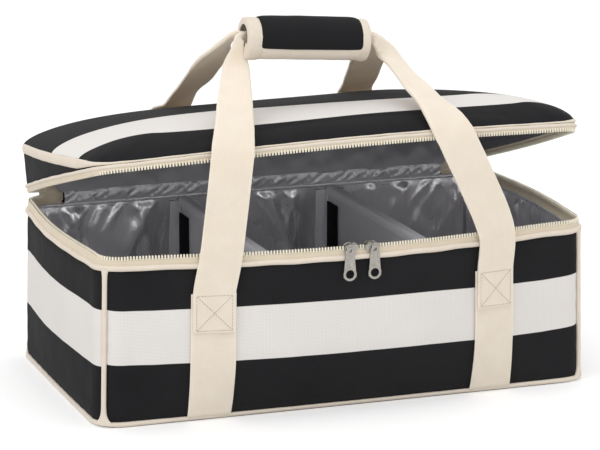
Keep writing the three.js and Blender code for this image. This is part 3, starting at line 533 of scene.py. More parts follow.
TUB_CANVAS = striped_canvas("tub_canvas", *TUB_STRIPE)
LID_CANVAS = striped_canvas("lid_canvas", *LID_STRIPE)
# The stripe of the plain cloth lies far off the pieces that are cut from it
PLAIN_CANVAS = striped_canvas("plain_black_canvas", 9000, 9001)
WEBBING = cream_cloth("cotton_webbing", "#f7eada", "#ebdcca", 1.6, 1.1, 0.1, 0.3, 0.92, 0.6)
TRIM = cream_cloth("twill_binding", "#ece1d2", "#dfd2c2", 0.9, 1.4, 0.3, 0.2, 0.88)
ZIP_TAPE = cream_cloth("zip_tape_weave", "#e6dac6", "#d8cab3", 0.9, 0.9, 0.35, 0.2, 0.9)
ZIP_NYLON = nylon("zip_coil_nylon", "#e4dcc6", "#f3eddc")
THREAD = nylon("polyester_thread", "#b3a48d", "#c6b8a2")
# Painted light: the tub's lining film is given a far lighter grey than the film itself has, which stands in
# for light that the shaded inside of the tub does not get
FILM = coated_film("lining_film_painted_lighter", "#d2d1d5", "#e8e7eb", 0.6, 0.28, 0.45)
LID_FILM = coated_film("lid_film", "#7f7e82", "#8d8c90", 0.4, 0.38, 0.12)
FILM_SEAM = coated_film("lining_seam_film", "#c0bfc3", "#d6d5d9", 0.45, 0.38, 0.45)
DIVIDER_FILM = coated_film("divider_film", "#dad9dd", "#e6e5e9", 0.2, 0.42, 0.08)
DIVIDER_EDGE = coated_film("divider_edge_tape", "#e2e1e5", "#efeef2", 0.1, 0.5, 0.08)
NICKEL = nickel_plate("dark_nickel_plate")
HOOK_TAPE = rough_black("hook_tape_pile", "#0b0b0c", "#19191b", 1.11, 0.8)
BOARD = rough_black("moulded_base_board", "#19191b", "#242426", 6.25, 0.2)


# Floor, light and camera
CAMERA_PLACE, CAMERA_TARGET = (-0.90947, -2.56015, 0.76991), (0, 0, 0.139136)
CAMERA_LENS, SENSOR_WIDTH = 176.3, 36
LAMP_TARGET = (0, 0, 0.15)


def aimed(name, data, place, target):
    """A lamp or camera at its place, turned to a point."""
    holder = bpy.data.objects.new(name, data)
    holder.location = place
    holder.rotation_euler = (Vector(target) - Vector(place)).to_track_quat("-Z", "Y").to_euler()
    bpy.context.scene.collection.objects.link(holder)
    return holder


def studio():
    floor = fresh(bpy.ops.mesh.primitive_plane_add, size=9)
    floor.name = "studio_floor"
    material, tree = new_material("pale_studio_floor")
    tree.nodes.remove(tree.nodes["Principled BSDF"])
    matt = put(tree, "BsdfDiffuse", {"Color": [0.72, 0.72, 0.72, 1]}).outputs[0]
    glow = put(tree, "Emission", {"Color": [1, 1, 1, 1], "Strength": 0.36}).outputs[0]
    seen = put(tree, "AddShader", {0: matt, 1: glow}).outputs[0]
    ray = put(tree, "LightPath").outputs
    shown = put(tree, "Math", {0: ray["Is Camera Ray"], 1: ray["Is Glossy Ray"]}, operation="MAXIMUM")
    both = put(tree, "MixShader", {0: shown.outputs[0], 1: matt, 2: seen}).outputs[0]
    feed(tree, tree.nodes["Material Output"], {"Surface": both})
    floor.data.materials.append(material)

    world = bpy.data.worlds.new("soft_studio")
    bpy.context.scene.world = world
    world.use_nodes = True
    tree = world.node_tree
    seen = put(tree, "LightPath").outputs["Is Camera Ray"]
    level = put(tree, "MapRange", {"Value": seen, "To Min": 0.95, "To Max": 1.0}).outputs[0]
    feed(tree, tree.nodes["Background"], {"Color": [1, 1, 1, 1], "Strength": level})

    for name, place, size, power in (
        ("key_softbox", (-2.3, -1.0, 1.5), 1.6, 12),
        ("low_softbox", (-0.5, -2.6, 0.5), 1.6, 10),
        ("side_softbox", (1.9, -0.7, 1.5), 1.4, 3),
        ("top_softbox", (0.1, 0.5, 2.4), 1.8, 5),
    ):
        lamp = bpy.data.lights.new(name, "AREA")
        lamp.energy, lamp.size = power, size
        aimed(name, lamp, place, LAMP_TARGET)

    camera = bpy.data.cameras.new("photo_camera")
    camera.lens, camera.sensor_width = CAMERA_LENS, SENSOR_WIDTH
    camera.clip_start, camera.clip_end = 0.05, 30
    bpy.context.scene.camera = aimed("photo_camera", camera, CAMERA_PLACE, CAMERA_TARGET)
    bpy.context.scene.view_settings.view_transform = "Standard"


studio()


# Small shapes in mm, which are put together or copied in rows
def plate(size, centre, bevel, segments=2):
    """A block with rounded edges."""
    block = fresh(bpy.ops.mesh.primitive_cube_add, size=1)
    with editing(block):
        bpy.ops.transform.resize(value=[s * MM for s in size])
        bpy.ops.transform.translate(value=[c * MM for c in centre])
        bpy.ops.mesh.bevel(offset=bevel * MM, segments=segments, affect="EDGES")
    return block


def drum(radius, depth, centre, axis="Y"):
    """A cylinder that lies along the x or y axis."""
    block = fresh(bpy.ops.mesh.primitive_cylinder_add, vertices=28, radius=radius * MM, depth=depth * MM)
    turned_about = {"X": "Y", "Y": "X"}[axis]
    with editing(block):
        bpy.ops.transform.rotate(value=math.pi / 2, orient_axis=turned_about, center_override=(0, 0, 0))
        bpy.ops.transform.translate(value=[c * MM for c in centre])
    return block


def modelled_stitch():
    """One stitch of thick thread, lying along x."""
    stitch = fresh(bpy.ops.mesh.primitive_uv_sphere_add, segments=6, ring_count=4, radius=1)
    with editing(stitch):
        bpy.ops.transform.resize(value=(0.33 * MM, 0.33 * MM, 1.25 * MM))
        bpy.ops.transform.rotate(value=math.pi / 2, orient_axis="Y", center_override=(0, 0, 0))
    return stitch


# One turn of the zip's coil is a short rounded bar across the tape
TOOTH = plate((1.65, 2.4, 4.0), (0, 0, 0), 0.55, 1)
STITCH = modelled_stitch()


def seam_spots(points, outs, step):
    """Places of the stitches along a line of points."""
    lengths = ways_along(points)
    spots = []
    for way in np.arange(step / 2, lengths[-1], step):
        before, here, after = at_ways([way - 0.5, way, way + 0.5], lengths, points)
        spots.append(spot(here, after - before, at_ways([way], lengths, outs)[0]))
    return spots


# Base
def base_pieces():
    def disc(name, height, inset, rounding, relief, *look):
        def place(u, v):
            points = around(u * LOOP, height, inset) * v[:, None]
            points[:, 2] = height + relief(points, v) - rounding * ease(v, 0.94, 1.0)
            return points

        def cut(u, v):
            turn = 2 * np.pi * u
            return np.stack([v * BODY_WIDTH / 2 * np.cos(turn), v * BODY_DEPTH / 2 * np.sin(turn)], 1)

        return cloth(name, (180, 26), place, cut, *look, closed=True, turned=True)

    def even(p, v):
        return 0 * v

    def sag(p, v):
        return -0.2 * (1 + drift(p[:, 0] / 60, p[:, 1] / 60, 2))

    def crumple(p, v):
        creases = drift(p[:, 0] / 21, p[:, 1] / 27, 5) + 0.6 * drift(p[:, 0] / 9, p[:, 1] / 12, 1)
        return 0.35 * creases * ease(v, 1.0, 0.9) - 0.3

    piece = disc("base_cloth", 1.2, 1.6, 0, even, 1.2, PLAIN_CANVAS, "black_cloth")
    on(piece, "tub", "base_panel")
    piece = disc("base_padding", 9.3, 12, 0.8, sag, 4.4, FILM, "foam")
    on(piece, "tub", "base_foam")
    piece = disc("floor_lining", FLOOR_HEIGHT, 10.6, -1.6, crumple, TAPE_THICKNESS, FILM, "foil_lining")
    on(piece, "tub", "lining_floor")


base_pieces()
coat(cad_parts["base_board"], BOARD)


# Walls of the tub
def strap_nearness(side, travel):
    if side not in ("front", "back"):
        return 0 * travel
    return ease(np.abs(np.abs(travel) - WEBBING_SPACING / 2), WEBBING_WIDTH / 2 + 14, WEBBING_WIDTH / 2 + 2)


def wall_relief(side, travel, height):
    """Depth of the cloth behind the wall's plain face: drawn in at the seams, puckered beside them,
    with soft dents between, and held flat under the webbing."""
    apex = SIDES[side]["apex"]
    seam = np.minimum(np.minimum(apex - np.abs(travel), height - PANEL_FOOT), PANEL_TOP - height)
    seam = np.maximum(seam, 0)
    seed = len(side)
    tuck = 1.7 * np.exp(-((seam / 3.5) ** 1.3))
    pucker = 0.3 * np.exp(-seam / 9) * np.sin(travel / 2.7 + height / 3.1 + 2 * np.sin(travel / 23))
    dent = 0.55 * (1 + drift(travel / 52, height / 38, seed)) * ease(seam, 4, 30)
    slack = 0.22 * (1 + drift(travel / 15, height / 24, seed + 3)) * ease(seam, 3, 18)
    strap = strap_nearness(side, travel)
    return tuck + (pucker + dent + slack) * (1 - 0.8 * strap) + 0.35 * strap


# The front's stripe runs a little askew: how far it lies below its plain height along the wall
STRIPE_STOPS = (-234, -215, -190, -150, -100, -50, 0, 40, 70, 100, 130, 160, 190, 210, 234)
STRIPE_LIFTS = (-1.0, 0.1, 0.8, 0.6, 0.3, 0.0, 0.0, 0.2, 0.7, 1.7, 2.9, 4.0, 4.6, 4.0, 2.0)


def tub_wall(side):
    apex = SIDES[side]["apex"]

    def spread(u, v):
        return (2 * u - 1) * apex, PANEL_FOOT - 1 + (PANEL_TOP - PANEL_FOOT + 2) * v

    def place(u, v):
        travel, height = spread(u, v)
        return wall(side, travel, height, wall_relief(side, travel, height))

    def cut(u, v):
        travel, height = spread(u, v)
        if side == "front":
            return np.stack([travel, height + np.interp(travel, STRIPE_STOPS, STRIPE_LIFTS)], 1)
        return np.stack([travel, 57.3 + (height - 57 + 1.5 * (travel / apex) ** 2) * 0.96], 1)

    steps = (int(2 * apex / 3), 48)
    piece = cloth(side + "_wall", steps, place, cut, PADDED_WALL, TUB_CANVAS, "black_cloth")
    on(piece, "tub", side + "_panel", side + "_foam")


for side_name in SIDES:
    tub_wall(side_name)


def lining_folds(run, drop):
    """How far the loose lining stands in from the wall: gathers along its top seam, and creases that
    run down from there at a slant and fade."""
    chance = np.random.RandomState(23)
    stand = np.zeros(len(run))
    for spacing, sizes, reaches, lean, widening in (
        (9, (0.6, 1.7), (8, 20), 0.6, 0.05),
        (19, (1.6, 4.4), (20, 60), 0.9, 0.07),
        (52, (2.0, 4.5), (60, 130), 0.7, 0.10),
    ):
        place = chance.uniform(0, spacing)
        while place < LOOP:
            slant, size = chance.uniform(-lean, lean), chance.uniform(*sizes)
            reach = chance.uniform(*reaches)
            width, skew = 2.2 + widening * drop, chance.uniform(0.5, 1.0)
            off = np.mod(run - place - slant * drop + LOOP / 2, LOOP) - LOOP / 2
            off = np.where(off > 0, off * skew, off)
            stand += size * np.exp(-np.abs(off / width) ** 1.2) * np.exp(-drop / reach) * ease(drop, 0.5, 9)
            place += spacing * chance.uniform(0.5, 1.5)
    for corner in SIDE_STARTS.values():
        off = np.mod(run - corner + LOOP / 2, LOOP) - LOOP / 2
        stand += 3.2 * (np.exp(-(((np.abs(off) - 4.5) / 2.4) ** 2)) - 2 * np.exp(-((off / 1.6) ** 2)))
    return stand + 0.8 * drift(run / 33, drop / 19, 4) * ease(drop, 0, 30)


def divider_nearness(run):
    near = np.zeros(len(run))
    for side in ("front", "back"):
        for place in (DIVIDER_PLACE, -DIVIDER_PLACE):
            middle = SIDE_STARTS[side] + SIDES[side]["apex"] + place
            near = np.maximum(near, ease(np.abs(run - middle), 36, 22))
    return near


# Section of the tape folded over the lining's top, as inset and height
HEM_PROFILE = (
    (9.0, 146.8), (8.2, 147.5), (9.3, 148.2), (10.4, 147.6), (10.7, 146.2), (10.4, 144.8), (9.2, 144.2),
)


def lining_pieces():
    top, foot = PANEL_TOP + 2.5, LINING_FOOT + 1

    def hung(run, v):
        height = foot + (top - foot) * v
        drop, near = top - height, divider_nearness(run)
        stand = lining_folds(run, drop) * (1 - 0.85 * near)
        sag = 1.6 * np.sin(np.pi * np.clip(drop / 133, 0, 1)) * (1 - near)
        return around(run, height, LINING_INSET + np.clip(stand + sag, -0.6, 9))

    piece = band("wall_lining", (690, 64), hung, 136, FILM_THICKNESS, FILM, "foil_lining")
    on(piece, "tub", "lining_walls")

    def hem(run, v):
        inset, height = profile(HEM_PROFILE, v)
        ripple = 0.25 * drift(run / 9, v, 3)
        return around(run, height + ripple, inset + ripple * 0.6)

    piece = band("lining_top_binding", (420, 10), hem, 14, TAPE_THICKNESS, FILM, "foil_lining")
    on(piece, "tub")


lining_pieces()


# Piping and zip of the tub
def tub_piping():
    low, high, radius = 2.4, RIM_PIPING_HEIGHT, PIPING_RADIUS
    for side, shape in SIDES.items():

        def upright(u, turn):
            height = low + (high - low) * u
            flare = 8.5 * np.exp(-((height - low) / 4.5) ** 1.2) + 2.5 * np.exp(-(high - height) / 3)
            wide, deep = radius + 0.1 + flare, radius * (1 + 0.03 * np.sin(height / 4.1))
            return wall(side, shape["apex"] + wide * np.cos(turn), height, -0.4 - deep * np.sin(turn))

        on(piping(side + "_corner_welt", (70, 14), upright, 146), "tub", side + "_corner_piping")

    def rim(u, turn):
        run = u * LOOP
        wave = 0.25 * np.sin(run / 7.3) + 0.2 * drift(run / 31, 0 * run, 2)
        return around(run, high + wave + 2.6 * np.sin(turn), 0.2 - radius * np.cos(turn))

    def foot(u, turn):
        run = u * LOOP
        height = 2.75 + (radius + 0.12 * drift(run / 24, 0 * run, 6)) * np.sin(turn)
        return around(run, np.maximum(height, 0.05), 1.2 - (radius + 0.2) * np.cos(turn))

    on(piping("rim_welt", (560, 14), rim, LOOP), "tub", "rim_piping")
    on(piping("base_welt", (560, 14), foot, LOOP), "tub", "base_piping")


tub_piping()


def at_ends(run):
    """1 along the bag's two ends, where the zip rolls inwards, and 0 along its front."""
    y = around(run, ZIP_HEIGHT, 0)[:, 1]
    return ease(y, -BODY_DEPTH / 2 + 1, -BODY_DEPTH / 2 + CORNER_RADIUS)


def zip_row(name, height, rim):
    """The coil of one half of the zip, turn by turn along the tape."""
    spots = []
    for run in np.arange(ZIP_FROM + 4, ZIP_TO - 3, TOOTH_PITCH):
        deep = 0.9 + 3.0 * at_ends(run)
        here, ahead, inside = rim(np.array([run, run + 0.5, run]), height, deep + np.array([0, 0, 2]))
        spots.append(spot(here, ahead - here, here - inside))
    return finish(row_of(name, TOOTH, spots), ZIP_NYLON, "zip_cream", 50)


def tape_run(u):
    return ZIP_FROM - TAPE_END + (ZIP_TO - ZIP_FROM + 2 * TAPE_END) * u


def inside_hinge(run, inset):
    past = np.maximum(ZIP_FROM - run, run - ZIP_TO)
    return np.where(past > 0, np.maximum(inset, TAPE_END_INSET), inset)


# Sections of the zip's two tapes, as inset and height; the lid's heights are above the zip
TUB_TAPE_PROFILE = (
    (0.6, 147.6), (0.6, 151.5), (0.9, 153.0), (1.2, 154.0),
    (1.9, 154.1), (2.9, 152.6), (6.2, 149.3), (9.0, 147.2),
)
LID_TAPE_PROFILE = (
    (0.5, 6.0), (0.6, 5.0), (0.9, 4.2), (1.2, 3.5), (1.9, 3.4), (3.0, 4.6), (6.0, 6.2), (9.6, 7.4),
)
# At the ends the coil's edge of either tape stands this much nearer to the other
TAPE_ROLL = 2.4


def tub_zip():
    def tape(u, v):
        run = tape_run(u)
        inset, height = profile(TUB_TAPE_PROFILE, v)
        height = height + TAPE_ROLL * at_ends(run) * np.clip((height - 151) / 3, 0, 1)
        return around(run, height + 0.15 * drift(run / 13, v, 1), inside_hinge(run, inset))

    size = (ZIP_TO - ZIP_FROM, 20)
    piece = cloth("tub_zip_cloth", (430, 16), tape, size, TAPE_THICKNESS, ZIP_TAPE, "zip_cream")
    on(piece, "tub", "tub_zip_tape")
    on(zip_row("tub_zip_coil", ZIP_HEIGHT - 2.7, around), "tub", "tub_zip_chain")


tub_zip()


# Lid
def lid_stripe(u, v):
    """Place on the striped roll of the lid's cloth: the stripe bows with the domed panel."""
    points = dome(u * LOOP, v, np.zeros(len(u)))
    x, depth = points[:, 0], points[:, 1] - HINGE_Y
    front = -270 + np.where(x < 0, 44, 24) * (x / (BODY_WIDTH / 2)) ** 2
    back = -222 + 70 * ease(-x, -50, 225) - 7 * ease(x, 0, 120)
    low, high = LID_STRIPE
    return np.stack([x, low + (high - low) * (depth - front) / (back - front)], 1)


def on_disc(ring, u):
    """Place on a disc of radius 1, the share u of a turn round it."""
    return ring * np.cos(6.28 * u), ring * np.sin(6.28 * u)


def lid_pieces():
    def top(u, v):
        run, ring = u * LOOP, np.sin(v * np.pi / 2)
        x, y = on_disc(ring, u)
        seam = (1 - ring) * 130
        relief = 1.3 * np.exp(-((seam / 2.6) ** 1.2)) + 0.25 * np.exp(-seam / 8) * np.sin(run / 3.0)
        soft = 0.5 * (1 + drift(x * 3, y * 2, 5)) * ease(seam, 2, 30)
        return dome(run, ring, relief + soft)

    def cut(u, v):
        return lid_stripe(u, np.sin(v * np.pi / 2))

    look = LID_CANVAS, "black_cloth"
    piece = cloth("lid_top", (420, 70), top, cut, PADDED_WALL, *look, closed=True, turned=True)
    on_lid(piece, "lid_top_panel", "lid_top_foam")

    def side(run, v):
        low, high = 7.4, seam_height(lid_depth(run)) + 0.2
        height = low + (high - low) * v
        edge = np.minimum(height - low, high - height)
        relief = 0.4 + 0.9 * np.exp(-edge / 2.5) + 0.5 * drift(run / 30, height / 12, 4) * ease(edge, 1, 9)
        return lid_rim(run, height, relief)

    piece = band("lid_side", (420, 14), side, 30, 8.0, PLAIN_CANVAS, "black_cloth")
    on_lid(piece, "lid_gusset", "lid_side_foam")

    def binding(run, v):
        depth = lid_depth(run)
        low = seam_height(depth) - binding_height(depth)
        height = low + binding_height(depth) * np.clip(v * 1.2 - 0.1, 0, 1) + 0.5 * (v - 0.5)
        bow = np.sin(np.pi * np.clip(v, 0, 1)) ** 0.6
        return lid_rim(run, height + 0.15 * drift(run / 11, v, 2), 1.2 - 2.1 * bow)

    piece = band("lid_seam_tape", (480, 10), binding, 9, 0.7, TRIM, "cream_trim", 80)
    on_lid(piece, "lid_seam_binding")

    def rim(u, turn):
        run, radius = u * LOOP, LID_PIPING_RADIUS
        wave = 0.12 * np.sin(run / 6.1) + 0.12 * drift(run / 31, 0 * run, 3)
        height = LID_PIPING_HEIGHT + wave + (radius + 0.1) * np.sin(turn)
        return lid_rim(run, height, 0.2 - radius * np.cos(turn))

    on_lid(piping("lid_rim_welt", (560, 12), rim, LOOP), "lid_rim_piping")

    def tape(u, v):
        run = tape_run(u)
        inset, height = profile(LID_TAPE_PROFILE, v)
        height = height - TAPE_ROLL * at_ends(run) * np.clip((5 - height) / 1.5, 0, 1)
        return lid_rim(run, height, inside_hinge(run, inset))

    size = (ZIP_TO - ZIP_FROM, 18)
    piece = cloth("lid_zip_cloth", (430, 14), tape, size, TAPE_THICKNESS, ZIP_TAPE, "zip_cream")
    on_lid(piece, "lid_zip_tape")
    on_lid(zip_row("lid_zip_coil", 2.7, lid_rim), "lid_zip_chain")

    def lining(u, v):
        ring = np.sin(v * np.pi / 2)
        x, y = on_disc(ring, u)
        creases = 1.1 * drift(x * 7, y * 4, 8) + 0.6 * drift(x * 17, y * 9, 2)
        return dome(u * LOOP, ring, 10.2 + np.clip(creases, -0.8, 3) * ease(ring, 1.0, 0.9))

    look = FILM_THICKNESS, LID_FILM, "foil_lining"
    piece = cloth("lid_top_film", (300, 50), lining, (480, 280), *look, closed=True)
    on_lid(piece, "lid_top_lining")

    def side_lining(run, v):
        back = SIDES["back"]
        from_middle = np.mod(run - SIDE_STARTS["back"] - back["apex"] + LOOP / 2, LOOP) - LOOP / 2
        foot = 6.4 - 8 * ease(np.abs(from_middle), back["straight"] - 4, back["straight"] - 14)
        height = foot + (seam_height(lid_depth(run)) - foot) * v
        folds = 0.7 * drift(run / 17, height / 9, 6) + 0.5 * drift(run / 7, height / 15, 1)
        return lid_rim(run, height, LINING_INSET + np.clip(folds + 0.6, 0, 2.5) * np.sin(np.pi * v))

    piece = band("lid_side_film", (420, 12), side_lining, 28, *look)
    on_lid(piece, "lid_side_lining")


lid_pieces()


# Cloth of the hinge: a strip outside, a crinkled one inside and a tab at either end, all of them
# bending between tub and lid
HINGE_LOW, HINGE_HIGH = 153.0, 162.5


def hinge_pieces():
    straight = SIDES["back"]["straight"] + 1

    def settle(piece, *nodes):
        points = points_of(piece)
        set_points(piece, raised(points, ease(points[:, 2], HINGE_LOW, HINGE_HIGH)))
        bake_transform(piece)
        if nodes:
            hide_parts(*nodes)

    def upright(travel, height, inset):
        """Points of the back wall, which goes straight up from the zip."""
        points = wall("back", travel, np.minimum(height, ZIP_HEIGHT), inset)
        points[:, 2] = height
        return points

    def outside(u, v):
        travel, height = (2 * u - 1) * (straight - 9), 147.4 + 18 * v
        return upright(travel, height, 1.6 + 0.25 * drift(travel / 16, height / 5, 3))

    piece = cloth("hinge_cloth", (140, 18), outside, (2 * straight, 18), 1.0, PLAIN_CANVAS, "black_cloth")
    settle(piece, "tub_hinge_fabric", "lid_hinge_fabric")

    def inside(u, v):
        travel, height = (2 * u - 1) * (straight - TAPE_END - 3), 147.6 + 11 * v
        gather = 0.9 * drift(travel / 3.3, height / 3, 2) + 0.9 * drift(travel / 7.5, height / 5, 5)
        bow = 0.9 * np.sin(np.pi * v) + 0.6 * drift(travel / 41, height / 7, 1)
        return upright(travel, height, 9.4 + (bow + gather * np.sin(np.pi * v) ** 0.7) * 0.8)

    look = FILM_THICKNESS, FILM_SEAM, "foil_lining"
    piece = cloth("hinge_lining", (300, 20), inside, (2 * straight, 20), *look)
    settle(piece)

    for end, sign in (("left", 1), ("right", -1)):

        def tab(u, v):
            travel, height = sign * (straight - 16 + 26 * u), 149.5 + 15 * v
            return upright(travel, height, 3 + 0.3 * drift(travel / 7, height / 4, 3))

        look = 0.8, ZIP_TAPE, "zip_cream"
        piece = cloth("zip_end_tab_" + end, (26, 14), tab, (26, 15), *look, turned=sign < 0)
        settle(piece)


hinge_pieces()


# Webbing handles
def through(points, count):
    """Evenly spaced points on a smooth curve through the given ones."""
    points = np.asarray(points, float)
    padded = np.vstack([2 * points[0] - points[1], points, 2 * points[-1] - points[-2]])
    dense = []
    for i in range(len(points) - 1):
        p0, p1, p2, p3 = padded[i : i + 4]
        knots = [0]
        for a, b in ((p0, p1), (p1, p2), (p2, p3)):
            knots.append(knots[-1] + max(np.linalg.norm(b - a), 1e-6) ** 0.5)
        k0, k1, k2, k3 = knots
        t = np.linspace(k1, k2, 40, endpoint=i == len(points) - 2)[:, None]

        def mix(first, second, low, high):
            return (high - t) / (high - low) * first + (t - low) / (high - low) * second

        a1, a2, a3 = mix(p0, p1, k0, k1), mix(p1, p2, k1, k2), mix(p2, p3, k2, k3)
        dense.append(mix(mix(a1, a2, k0, k2), mix(a2, a3, k1, k3), k1, k2))
    dense = np.vstack(dense)
    lengths = ways_along(dense)
    return at_ways(np.linspace(0, lengths[-1], count), lengths, dense), lengths[-1]


def grip_place(along, depth, height):
    """Points in the grip's own axes: along it, behind its middle line and above it."""
    tilt = math.radians(GRIP_TILT)
    x = along * math.cos(tilt) + height * math.sin(tilt)
    z = -along * math.sin(tilt) + height * math.cos(tilt)
    return np.stack([GRIP_CENTRE[0] + x, GRIP_CENTRE[1] + depth, GRIP_CENTRE[2] + z], -1)


# Ways of the legs from the lid's edge to the grip: shares of the drawing in, the run and the rise, and
# mm to the right
FRONT_LEG_WAY = ((0.07, 0, 0, -10), (0.18, 0.05, 0.2, -11.2), (0.5, 0.52, 0.5, -8), (0.86, 0.97, 0.83, -6.3))
REAR_LEG_WAY = ((-0.2, 0.02, -0.17, 12), (0.05, 0, 0, 14), (0.31, 0.03, 0.19, 14), (0.5, 0.347, 0.45, 6))
# The front legs have strayed this far to the right just under the zip and at it
FRONT_LEG_STRAY = {-1: (5, 7), 1: (2, -1.5)}
UNDER_ZIP = 148.2
# Half the distance between the legs where they pass the lid's edge, and how far off it they pass
LEG_SPREAD, EDGE_GAP = 110, 6
# Degrees by which the legs are turned at the grip, and mm below it in which their edges fold under
LEG_TURN = {"front": 23, "back": 7}
FOLD_LENGTH = {"front": 100, "back": 45}
GRIP_BEND, FOLDED_WIDTH, FOLD_RADIUS = 10, 14, 1.1
# How far from the grip's middle line each handle lies inside it
GRIP_DEPTH = 3.2


def strap_travel(side, sign):
    return (sign if side == "front" else -sign) * WEBBING_SPACING / 2


def leg_line(side, sign):
    """Middle line of one leg, from its sewn end up past the lid's edge to the grip."""
    front = side == "front"
    travel = strap_travel(side, sign)
    line = [wall(side, travel, h, -HANDLE_STANDOFF)[0] for h in (SEWN_END_FOOT, 97, 109, SEWN_END_TOP + 0.3)]
    under_zip, at_zip = FRONT_LEG_STRAY[sign] if front else (0, 0)
    line.append(wall(side, travel, UNDER_ZIP, -HANDLE_STANDOFF - 0.3)[0] + [under_zip, 0, 0])
    zip_line = wall(side, travel, ZIP_HEIGHT, -HANDLE_STANDOFF - LID_PIPING_RADIUS)[0]
    line.append(zip_line + [at_zip, 0, LID_PIPING_HEIGHT])
    turn = math.radians(LID_OPEN_ANGLE)
    if front:
        reach = wall("front", sign * 91, ZIP_HEIGHT, -LID_PIPING_RADIUS)[0][1] - HINGE_Y
        edge_y = reach * math.cos(turn) + HINGE_Y - EDGE_GAP
        edge_z = ZIP_HEIGHT - reach * math.sin(turn)
    else:
        edge_y = LID_BACK_SEAM * math.sin(turn) + HINGE_Y + EDGE_GAP
        edge_z = ZIP_HEIGHT + LID_BACK_SEAM * math.cos(turn)
    end = GRIP_LENGTH / 2
    for drawn, run, rise, lean in FRONT_LEG_WAY if front else REAR_LEG_WAY:
        x = sign * (LEG_SPREAD + (end + GRIP_BEND - LEG_SPREAD) * drawn) + lean
        y = edge_y + (GRIP_CENTRE[1] - edge_y) * run
        line.append(np.array([x, y, edge_z + (GRIP_CENTRE[2] - edge_z) * rise]))
    depth = -GRIP_DEPTH if front else GRIP_DEPTH
    for along, behind in ((end + GRIP_BEND, 2 * depth), (end + 4, depth), (end - 20, depth)):
        line.append(grip_place(sign * along, behind, 0.0))
    return line, edge_z


def folded(sideways, half):
    """Place on the webbing's section, across and behind, where its edges are folded under to half."""
    bend = FOLD_RADIUS * ease(WEBBING_WIDTH / 2 - half, 0, 1.2)
    flat = half - bend
    past = np.maximum(np.abs(sideways) - flat, 0)
    turn = np.minimum(past / FOLD_RADIUS, np.pi)
    room = 1.8 * flat
    under = room * (1 - np.exp(-np.maximum(past - np.pi * FOLD_RADIUS, 0) / room))
    across = np.minimum(np.abs(sideways), flat) + FOLD_RADIUS * np.sin(turn) - under
    spare = WEBBING_WIDTH / 2 - np.pi * FOLD_RADIUS - 2 * flat
    lapped = ease(spare, -3, 0) * ease(under, 0, 3) * (sideways > 0)
    return np.sign(sideways) * across, FOLD_RADIUS * (1 - np.cos(turn)) + 2.2 * lapped


def handle(side, body):
    left, edge = leg_line(side, -1)
    right, _ = leg_line(side, 1)
    count = 360
    middle, length = through(left + right[::-1], count)
    height, top = middle[:, 2], GRIP_CENTRE[2]
    free = ease(height, 150, 185) * ease(height, top - 25, top - 70)
    for _ in range(90):
        eased = middle.copy()
        eased[1:-1] = (middle[:-2] + 2 * middle[1:-1] + middle[2:]) / 4
        middle += (eased - middle) * free[:, None]
    tangent = unit(np.gradient(middle, axis=0))
    behind, turned_from, turned_by = (-1, edge, top) if side == "front" else (1, edge - 45, edge + 5)
    turn = math.radians(LEG_TURN[side])
    out = np.zeros((count, 3))
    for sign in (-1, 1):
        before, after = wall(side, strap_travel(side, sign) + np.array([-5, 5]), RIM_PIPING_HEIGHT, 0)
        ahead = after - before
        off_wall = np.array([ahead[1], -ahead[0], 0]) / np.linalg.norm(ahead)
        at_grip = np.array([sign * math.sin(turn), behind * math.cos(turn), 0])
        leg = np.sign(middle[:, 0] - GRIP_CENTRE[0]) == sign
        turning = ease(height[leg], turned_from, turned_by)[:, None]
        out[leg] = off_wall * (1 - turning) + at_grip * turning
    normal = unit(out - tangent * np.sum(out * tangent, axis=1)[:, None])
    across = np.cross(tangent, normal)
    fold = 1 - np.clip(1 - (top - height) / FOLD_LENGTH[side], 0, 1) ** 2
    half = (FOLDED_WIDTH + (WEBBING_WIDTH - FOLDED_WIDTH) * fold) / 2
    half *= 1 - 0.4 * ease(height, top - 20, top - 4)
    slack = 0.35 * drift(np.linspace(0, 40, count), np.zeros(count), 3) * ease(height, 140, 190)

    def place(u, v):
        i = nearest(u, count)
        sideways, under = folded((v - 0.5) * WEBBING_WIDTH, half[i])
        return middle[i] + across[i] * sideways[:, None] + normal[i] * (behind * under + slack[i])[:, None]

    def cut(u, v):
        return np.stack([v * WEBBING_WIDTH, u * length], 1)

    look = WEBBING_THICKNESS, WEBBING, "cream_webbing", 50
    piece = cloth(side + "_handle_webbing", (count - 1, 44), place, cut, *look, offset=0.0, rounding=(0.5,))
    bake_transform(piece)
    names = [("front" if side == "front" else "rear") + end + "_sewn_end" for end in ("_left", "_right")]
    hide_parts(body, *names)


handle("front", "front_handle")
handle("back", "rear_handle")


def sewn_webbing(side, name, sign):
    """The webbing that runs from the base up behind the handle's end, and the stitching through both."""
    middle = strap_travel(side, sign)

    def place(u, v):
        travel, height = middle + (u - 0.5) * (WEBBING_WIDTH + 2.6), 3.2 + 117.4 * v
        lift = 0.3 * np.exp(-((height - 84) / 3) ** 2) + 0.25 * drift(travel / 20, height / 17, 4)
        lift = lift - 1.3 * ease(height, 7, 3)
        return wall(side, travel, height, -2.3 - np.maximum(lift, -1.6) * ease(height, 90, 84))

    look = 1.8, WEBBING, "cream_webbing", 50
    piece = cloth(name + "_foot_webbing", (14, 60), place, (WEBBING_WIDTH, 117), *look, rounding=(0.45,))
    on(piece, "tub", name + "_lower_webbing")
    left, right = -WEBBING_WIDTH / 2 + 3, WEBBING_WIDTH / 2 - 3
    low, high = SEWN_END_FOOT + 2, SEWN_END_TOP - 2
    box = [(left, low), (right, low), (right, high), (left, high)]
    lines = list(zip(box, box[1:] + box[:1])) + [(box[0], box[2]), (box[3], box[1])]
    spots = []
    for start, end in lines:
        travel, height = np.linspace(start, end, 30).T
        points = wall(side, middle + travel, height, -4.62)
        outs = wall(side, middle + travel, height, -6) - points
        spots += seam_spots(points, outs, 2.9)
    stitches = row_of(name + "_box_stitching", STITCH, spots)
    finish(stitches, THREAD, "cream_webbing", 80)
    on(stitches, "tub")


